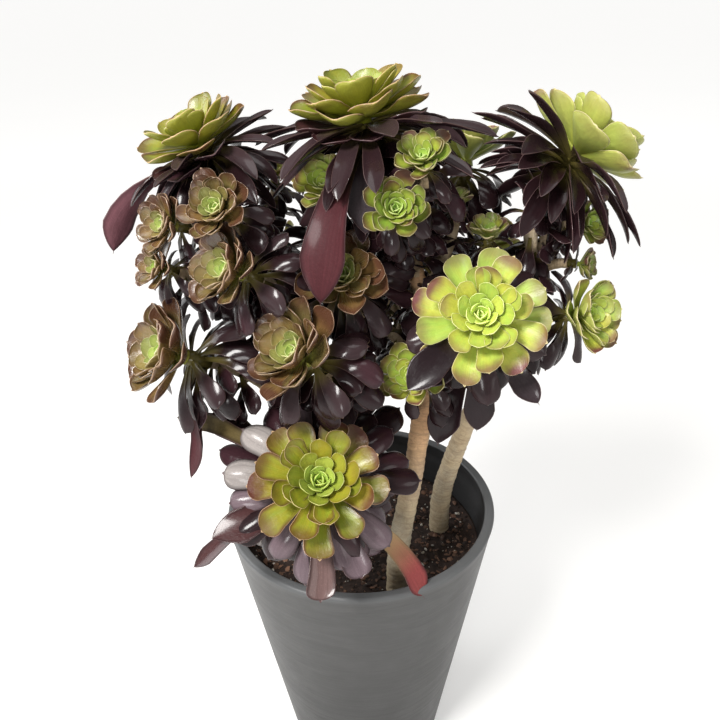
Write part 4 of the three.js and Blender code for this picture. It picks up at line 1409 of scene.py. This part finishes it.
class AEONIUM_OT_soil(bpy.types.Operator):
    """Fills the pot with potting mix and scatters chips and pale grains on it."""

    bl_idname = "aeonium.soil"
    bl_label = "Soil"

    def execute(self, context):
        pot = pot_sizes(context)
        settings = context.scene.aeonium_soil
        top = soil_level(context)

        def inner(z):
            return wall_radius(pot, z) - pot.wall - SEAT_GAP

        low = POT_FLOOR + SEAT_GAP
        ring = circle(SOIL_SIDES)
        layers = [ring * (inner(low) - 2) + (0, 0, low), ring * inner(top - 12) + (0, 0, top - 12)]
        for radius in inner(top) * np.linspace(1, 0.02, SOIL_RINGS) ** 0.8:
            spots = ((x, y, self.level(x, y, top, inner(top))) for x, y, _ in ring * radius)
            layers.append(np.array(list(spots)))
        vertices = np.concatenate(layers)
        colour = tuple(settings.colour)
        finish = grit_finish("moist soil", times(colour, 0.7), times(colour, 2.4), 0.8)
        chance = [0.5 + 0.5 * noise.noise(Vector(v) * 0.35) for v in vertices]
        faces = tube_faces(len(layers), SOIL_SIDES)
        bed = piece_of("soil_bed", vertices, faces, finish, {"chance": chance})
        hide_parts("soil")

        rng = np.random.default_rng(SOIL_SEED)
        chips = self.scatter_bits(rng, settings.bark_chips, CHIP_SIZES, CHIP_FLATNESS, top, inner(top))
        finish = grit_finish("bark chips", (0.02, 0.012, 0.009), (0.2, 0.105, 0.065), 0.62)
        chips.piece("soil_bark_chips", finish, False)
        grains = settings.perlite_grains
        grains = self.scatter_bits(rng, grains, GRAIN_SIZES, GRAIN_FLATNESS, top, inner(top))
        finish = grit_finish("perlite grains", (0.34, 0.3, 0.24), (0.75, 0.72, 0.66), 0.8)
        grains.piece("soil_perlite", finish, False)
        return {"FINISHED"}

    @staticmethod
    def level(x, y, top, reach):
        """Height of the soil's surface at a place, level with its seat at the wall."""
        wave = math.sin(x * 0.09 + 1.3) * math.cos(y * 0.11 - 0.4) + math.sin((x + y) * 0.05)
        rough = noise.noise(Vector((x, y, 0)) * 0.16) * 1.5 + noise.noise(Vector((x, y, 3)) * 0.5) * 0.8
        free = min(1, max(0, (reach - math.hypot(x, y)) / LEVEL_STRIP))
        return top + (wave * 2.2 + rough) * free

    def scatter_bits(self, rng, count, sizes, flatness, top, reach):
        """Small angular bits, each a squashed and roughened icosahedron."""
        seed = bmesh.new()
        bmesh.ops.create_icosphere(seed, subdivisions=1, radius=1.0)
        shape = np.array([v.co for v in seed.verts])
        faces = [[v.index for v in face.verts] for face in seed.faces]
        seed.free()
        heap = Heap()
        for _ in range(count):
            spread = reach * 0.97 * math.sqrt(rng.random())
            angle = rng.random() * math.tau
            x, y = spread * math.cos(angle), spread * math.sin(angle)
            size = mix(*sizes, rng.random() ** 2.2)
            scale = np.array([1, rng.uniform(0.45, 0.9), rng.uniform(0.6, 1.0) * flatness]) * size
            turn = Matrix.Rotation(rng.uniform(0, math.tau), 3, "Z")
            turn = np.array(turn @ Matrix.Rotation(rng.uniform(-0.7, 0.7), 3, "X"))
            bit = (shape * scale * rng.uniform(0.72, 1.2, (len(shape), 1))) @ turn.T
            rise = self.level(x, y, top, reach) + size * flatness * 0.35
            heap.add(bit + (x, y, rise), faces, chance=rng.random())
        return heap


class AEONIUM_OT_stems(bpy.types.Operator):
    """Grows the three bare stems with their branches."""

    bl_idname = "aeonium.stems"
    bl_label = "Stems"

    def execute(self, context):
        settings = context.scene.aeonium_stems
        spacing = settings.step / MM
        finish = bark_finish(tuple(settings.colour))
        for number, trunk in enumerate(TRUNKS):
            heap = Heap()
            line = trunk_line(trunk, soil_level(context), spacing)
            radii = mix(trunk.radius, trunk.end_radius, np.linspace(0, 1, len(line)))
            orange = 0.9 if trunk.name == "stem_centre" else 0.1
            seed = number * 3.1
            add_tube(heap, line, radii, settings.sides, seed, (0, orange))
            for order, (name, share) in enumerate(trunk.branches.items()):
                branch = branch_line(line, share, BY_NAME[name], spacing)
                t = np.linspace(0, 1, len(branch))
                radii = mix(BRANCH_RADIUS, BRANCH_TIP_RADIUS, t) + BRANCH_FLARE * np.exp(-t * 14)
                sides = max(10, settings.sides - 8)
                add_tube(heap, branch, radii, sides, seed + order + 1, (0.25, 0.25))
            made = heap.piece(f"{trunk.name}_bark", finish)
            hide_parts(trunk.name)
        return {"FINISHED"}


# Small leaves along the branches: share of a trunk without them, distance between them, the height
# they start at, also on the front's branch, how clear they keep, and the least and greatest tilt,
# length, width and bend, with angles in radians
THICKET_SHARE = 0.8
THICKET_STEP = 2.1
THICKET_START = 370
FRONT_THICKET_START = 300
THICKET_GAP = 0.8
THICKET_TILT = (1.1, 1.9)
THICKET_LENGTH = (20, 36)
THICKET_WIDTH = (9, 13)
THICKET_BEND = (0.1, 0.9)

# Detours that an added leaf may take
ADDED_DETOURS = DETOURS[:5]

# Numbers that a trunk's twigs have for their draws, after those of the rosettes
FIRST_TWIG = 40
TWIGS_A_TRUNK = 12


class AEONIUM_OT_rosettes(bpy.types.Operator):
    """Grows the leaves of every rosette: live heads, skirts of older leaves, and those below."""

    bl_idname = "aeonium.rosettes"
    bl_label = "Rosettes"

    def execute(self, context):
        settings = context.scene.aeonium_leaves
        finishes = {
            key: leaf_finish(f"{key} leaf", tuple(getattr(settings, key)), tone)
            for key, tone in LEAF_TONES.items()
        }
        room = Room()
        heads, skirts = [], []
        for plant, rosette in enumerate(ROSETTES):
            axes = axes_of(rosette)
            head = as_built(axes, head_leaves(rosette, plant), f"{rosette.name}_head")
            old = skirt_leaves(rosette, plant) + listed_leaves(OLD_LEAVES, rosette, OLD_ORDER)
            old = as_built(axes, old, f"{rosette.name}_skirt")
            heads.append(head + between_leaves(rosette, plant, head) + inner_leaves(rosette, plant))
            skirts.append(old + listed_leaves(MORE_LEAVES, rosette, MORE_ORDER))
            for leaf in head + old:
                room.note(axes, leaf, rosette.name)
        room.settle()
        for plant, rosette in enumerate(ROSETTES):
            axes = axes_of(rosette)
            for leaf in extra_leaves(rosette, plant, settings.extra_share):
                for detour in ADDED_DETOURS:
                    bent = detoured(leaf, detour)
                    if room.is_clear(axes, bent, rosette.name):
                        skirts[plant].append(bent)
                        break
            tone = SHOWN_TONES.get(rosette.name, rosette.tone)
            self.leafy_piece(rosette, plant, heads[plant], "head", finishes[tone], settings.rows)
            self.leafy_piece(rosette, plant, skirts[plant], "skirt", finishes["dark"], settings.rows)
        self.thicket(context, room, finishes["dark"], settings.rows)
        return {"FINISHED"}

    def leafy_piece(self, rosette, plant, leaves, part, finish, rows):
        axes = axes_of(rosette)
        heap = Heap()
        habit = HABITS[rosette.habit]
        for leaf in leaves:
            add_leaf(heap, axes, leaf, plant, habit, rows)
        radius = habit.core_radius * rosette.radius
        if part == "head":
            bud = habit.bud_radius * rosette.radius * 0.4
            tall = habit.core_height * rosette.radius
            add_core(heap, axes, [(radius, SEAT_GAP), (bud, tall), (bud * 0.4, tall * 1.15)])
        else:
            radius = max(radius, BRANCH_TIP_RADIUS)
            add_core(heap, axes, [(radius * 0.9, -skirt_drop(rosette)), (radius, -SEAT_GAP)])
        node = f"{rosette.name}_{part}"
        made = heap.piece(f"{node}_leaves", finish)
        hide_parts(node)

    def thicket(self, context, room, finish, rows):
        """Small dark leaves along the upper part of every branch, clear of the live heads."""
        habit = HABITS["bowl"]
        for number, trunk in enumerate(TRUNKS):
            heap = Heap()
            line = trunk_line(trunk, soil_level(context), THICKET_STEP)
            twigs = [(trunk.top, line[round(len(line) * THICKET_SHARE):])]
            for name, share in trunk.branches.items():
                branch = branch_line(line, share, BY_NAME[name], THICKET_STEP)
                twigs.append((name, branch[len(branch) // 4:]))
            for twig, (owner, points) in enumerate(twigs):
                plant = FIRST_TWIG + number * TWIGS_A_TRUNK + twig
                start = FRONT_THICKET_START if owner == "front" else THICKET_START
                for i, (point, axis) in enumerate(zip(points, unit(np.gradient(points, axis=0)))):
                    if point[2] < start:
                        continue
                    slope = unit(np.cross(axis, (0.3, 0.2, 1.0)))
                    axes = Axes(point, axis, slope, np.cross(axis, slope))
                    leaf = self.thicket_leaf(plant, i)
                    if room.is_clear(axes, leaf, "twig", THICKET_GAP):
                        add_leaf(heap, axes, leaf, plant, habit, rows)
            made = heap.piece(f"{trunk.name}_leaves", finish)

    @staticmethod
    def thicket_leaf(plant, order):
        chance = [scatter(plant, order, purpose) for purpose in range(4)]
        return Leaf(
            around=order * GOLDEN_ANGLE, tilt=mix(*THICKET_TILT, chance[0]),
            length=mix(*THICKET_LENGTH, chance[1]), width=mix(*THICKET_WIDTH, chance[2]),
            bend=mix(*THICKET_BEND, chance[3]), height=0, sags=True, age=0.6 + 0.4 * chance[1],
            order=order, kind="thicket", tint="plum" if chance[3] > 0.85 else "none",
        )


class AEONIUM_PT_panel(bpy.types.Panel):
    """Lists the steps and their settings."""

    bl_idname = "AEONIUM_PT_panel"
    bl_label = "Potted aeonium"
    bl_space_type = "VIEW_3D"
    bl_region_type = "UI"
    bl_category = "Aeonium"

    def draw(self, context):
        for name, (operator, _) in STEPS.items():
            box = self.layout.box()
            box.operator(operator.bl_idname)
            settings = getattr(context.scene, name)
            for setting in settings.__annotations__:
                box.prop(settings, setting)


STEPS = {
    "aeonium_stage": (AEONIUM_OT_stage, StageSettings),
    "aeonium_pot": (AEONIUM_OT_pot, PotSettings),
    "aeonium_soil": (AEONIUM_OT_soil, SoilSettings),
    "aeonium_stems": (AEONIUM_OT_stems, StemSettings),
    "aeonium_leaves": (AEONIUM_OT_rosettes, LeafSettings),
}
CLASSES = [cls for step in STEPS.values() for cls in step] + [AEONIUM_PT_panel]


def register():
    for cls in CLASSES:
        bpy.utils.register_class(cls)
    for name, (_, group) in STEPS.items():
        setattr(bpy.types.Scene, name, bpy.props.PointerProperty(type=group))


def unregister():
    for name in STEPS:
        delattr(bpy.types.Scene, name)
    for cls in reversed(CLASSES):
        bpy.utils.unregister_class(cls)


def main():
    register()
    bpy.ops.aeonium.stage()
    bpy.ops.aeonium.pot()
    bpy.ops.aeonium.soil()
    bpy.ops.aeonium.stems()
    bpy.ops.aeonium.rosettes()


if __name__ == "__main__":
    main()
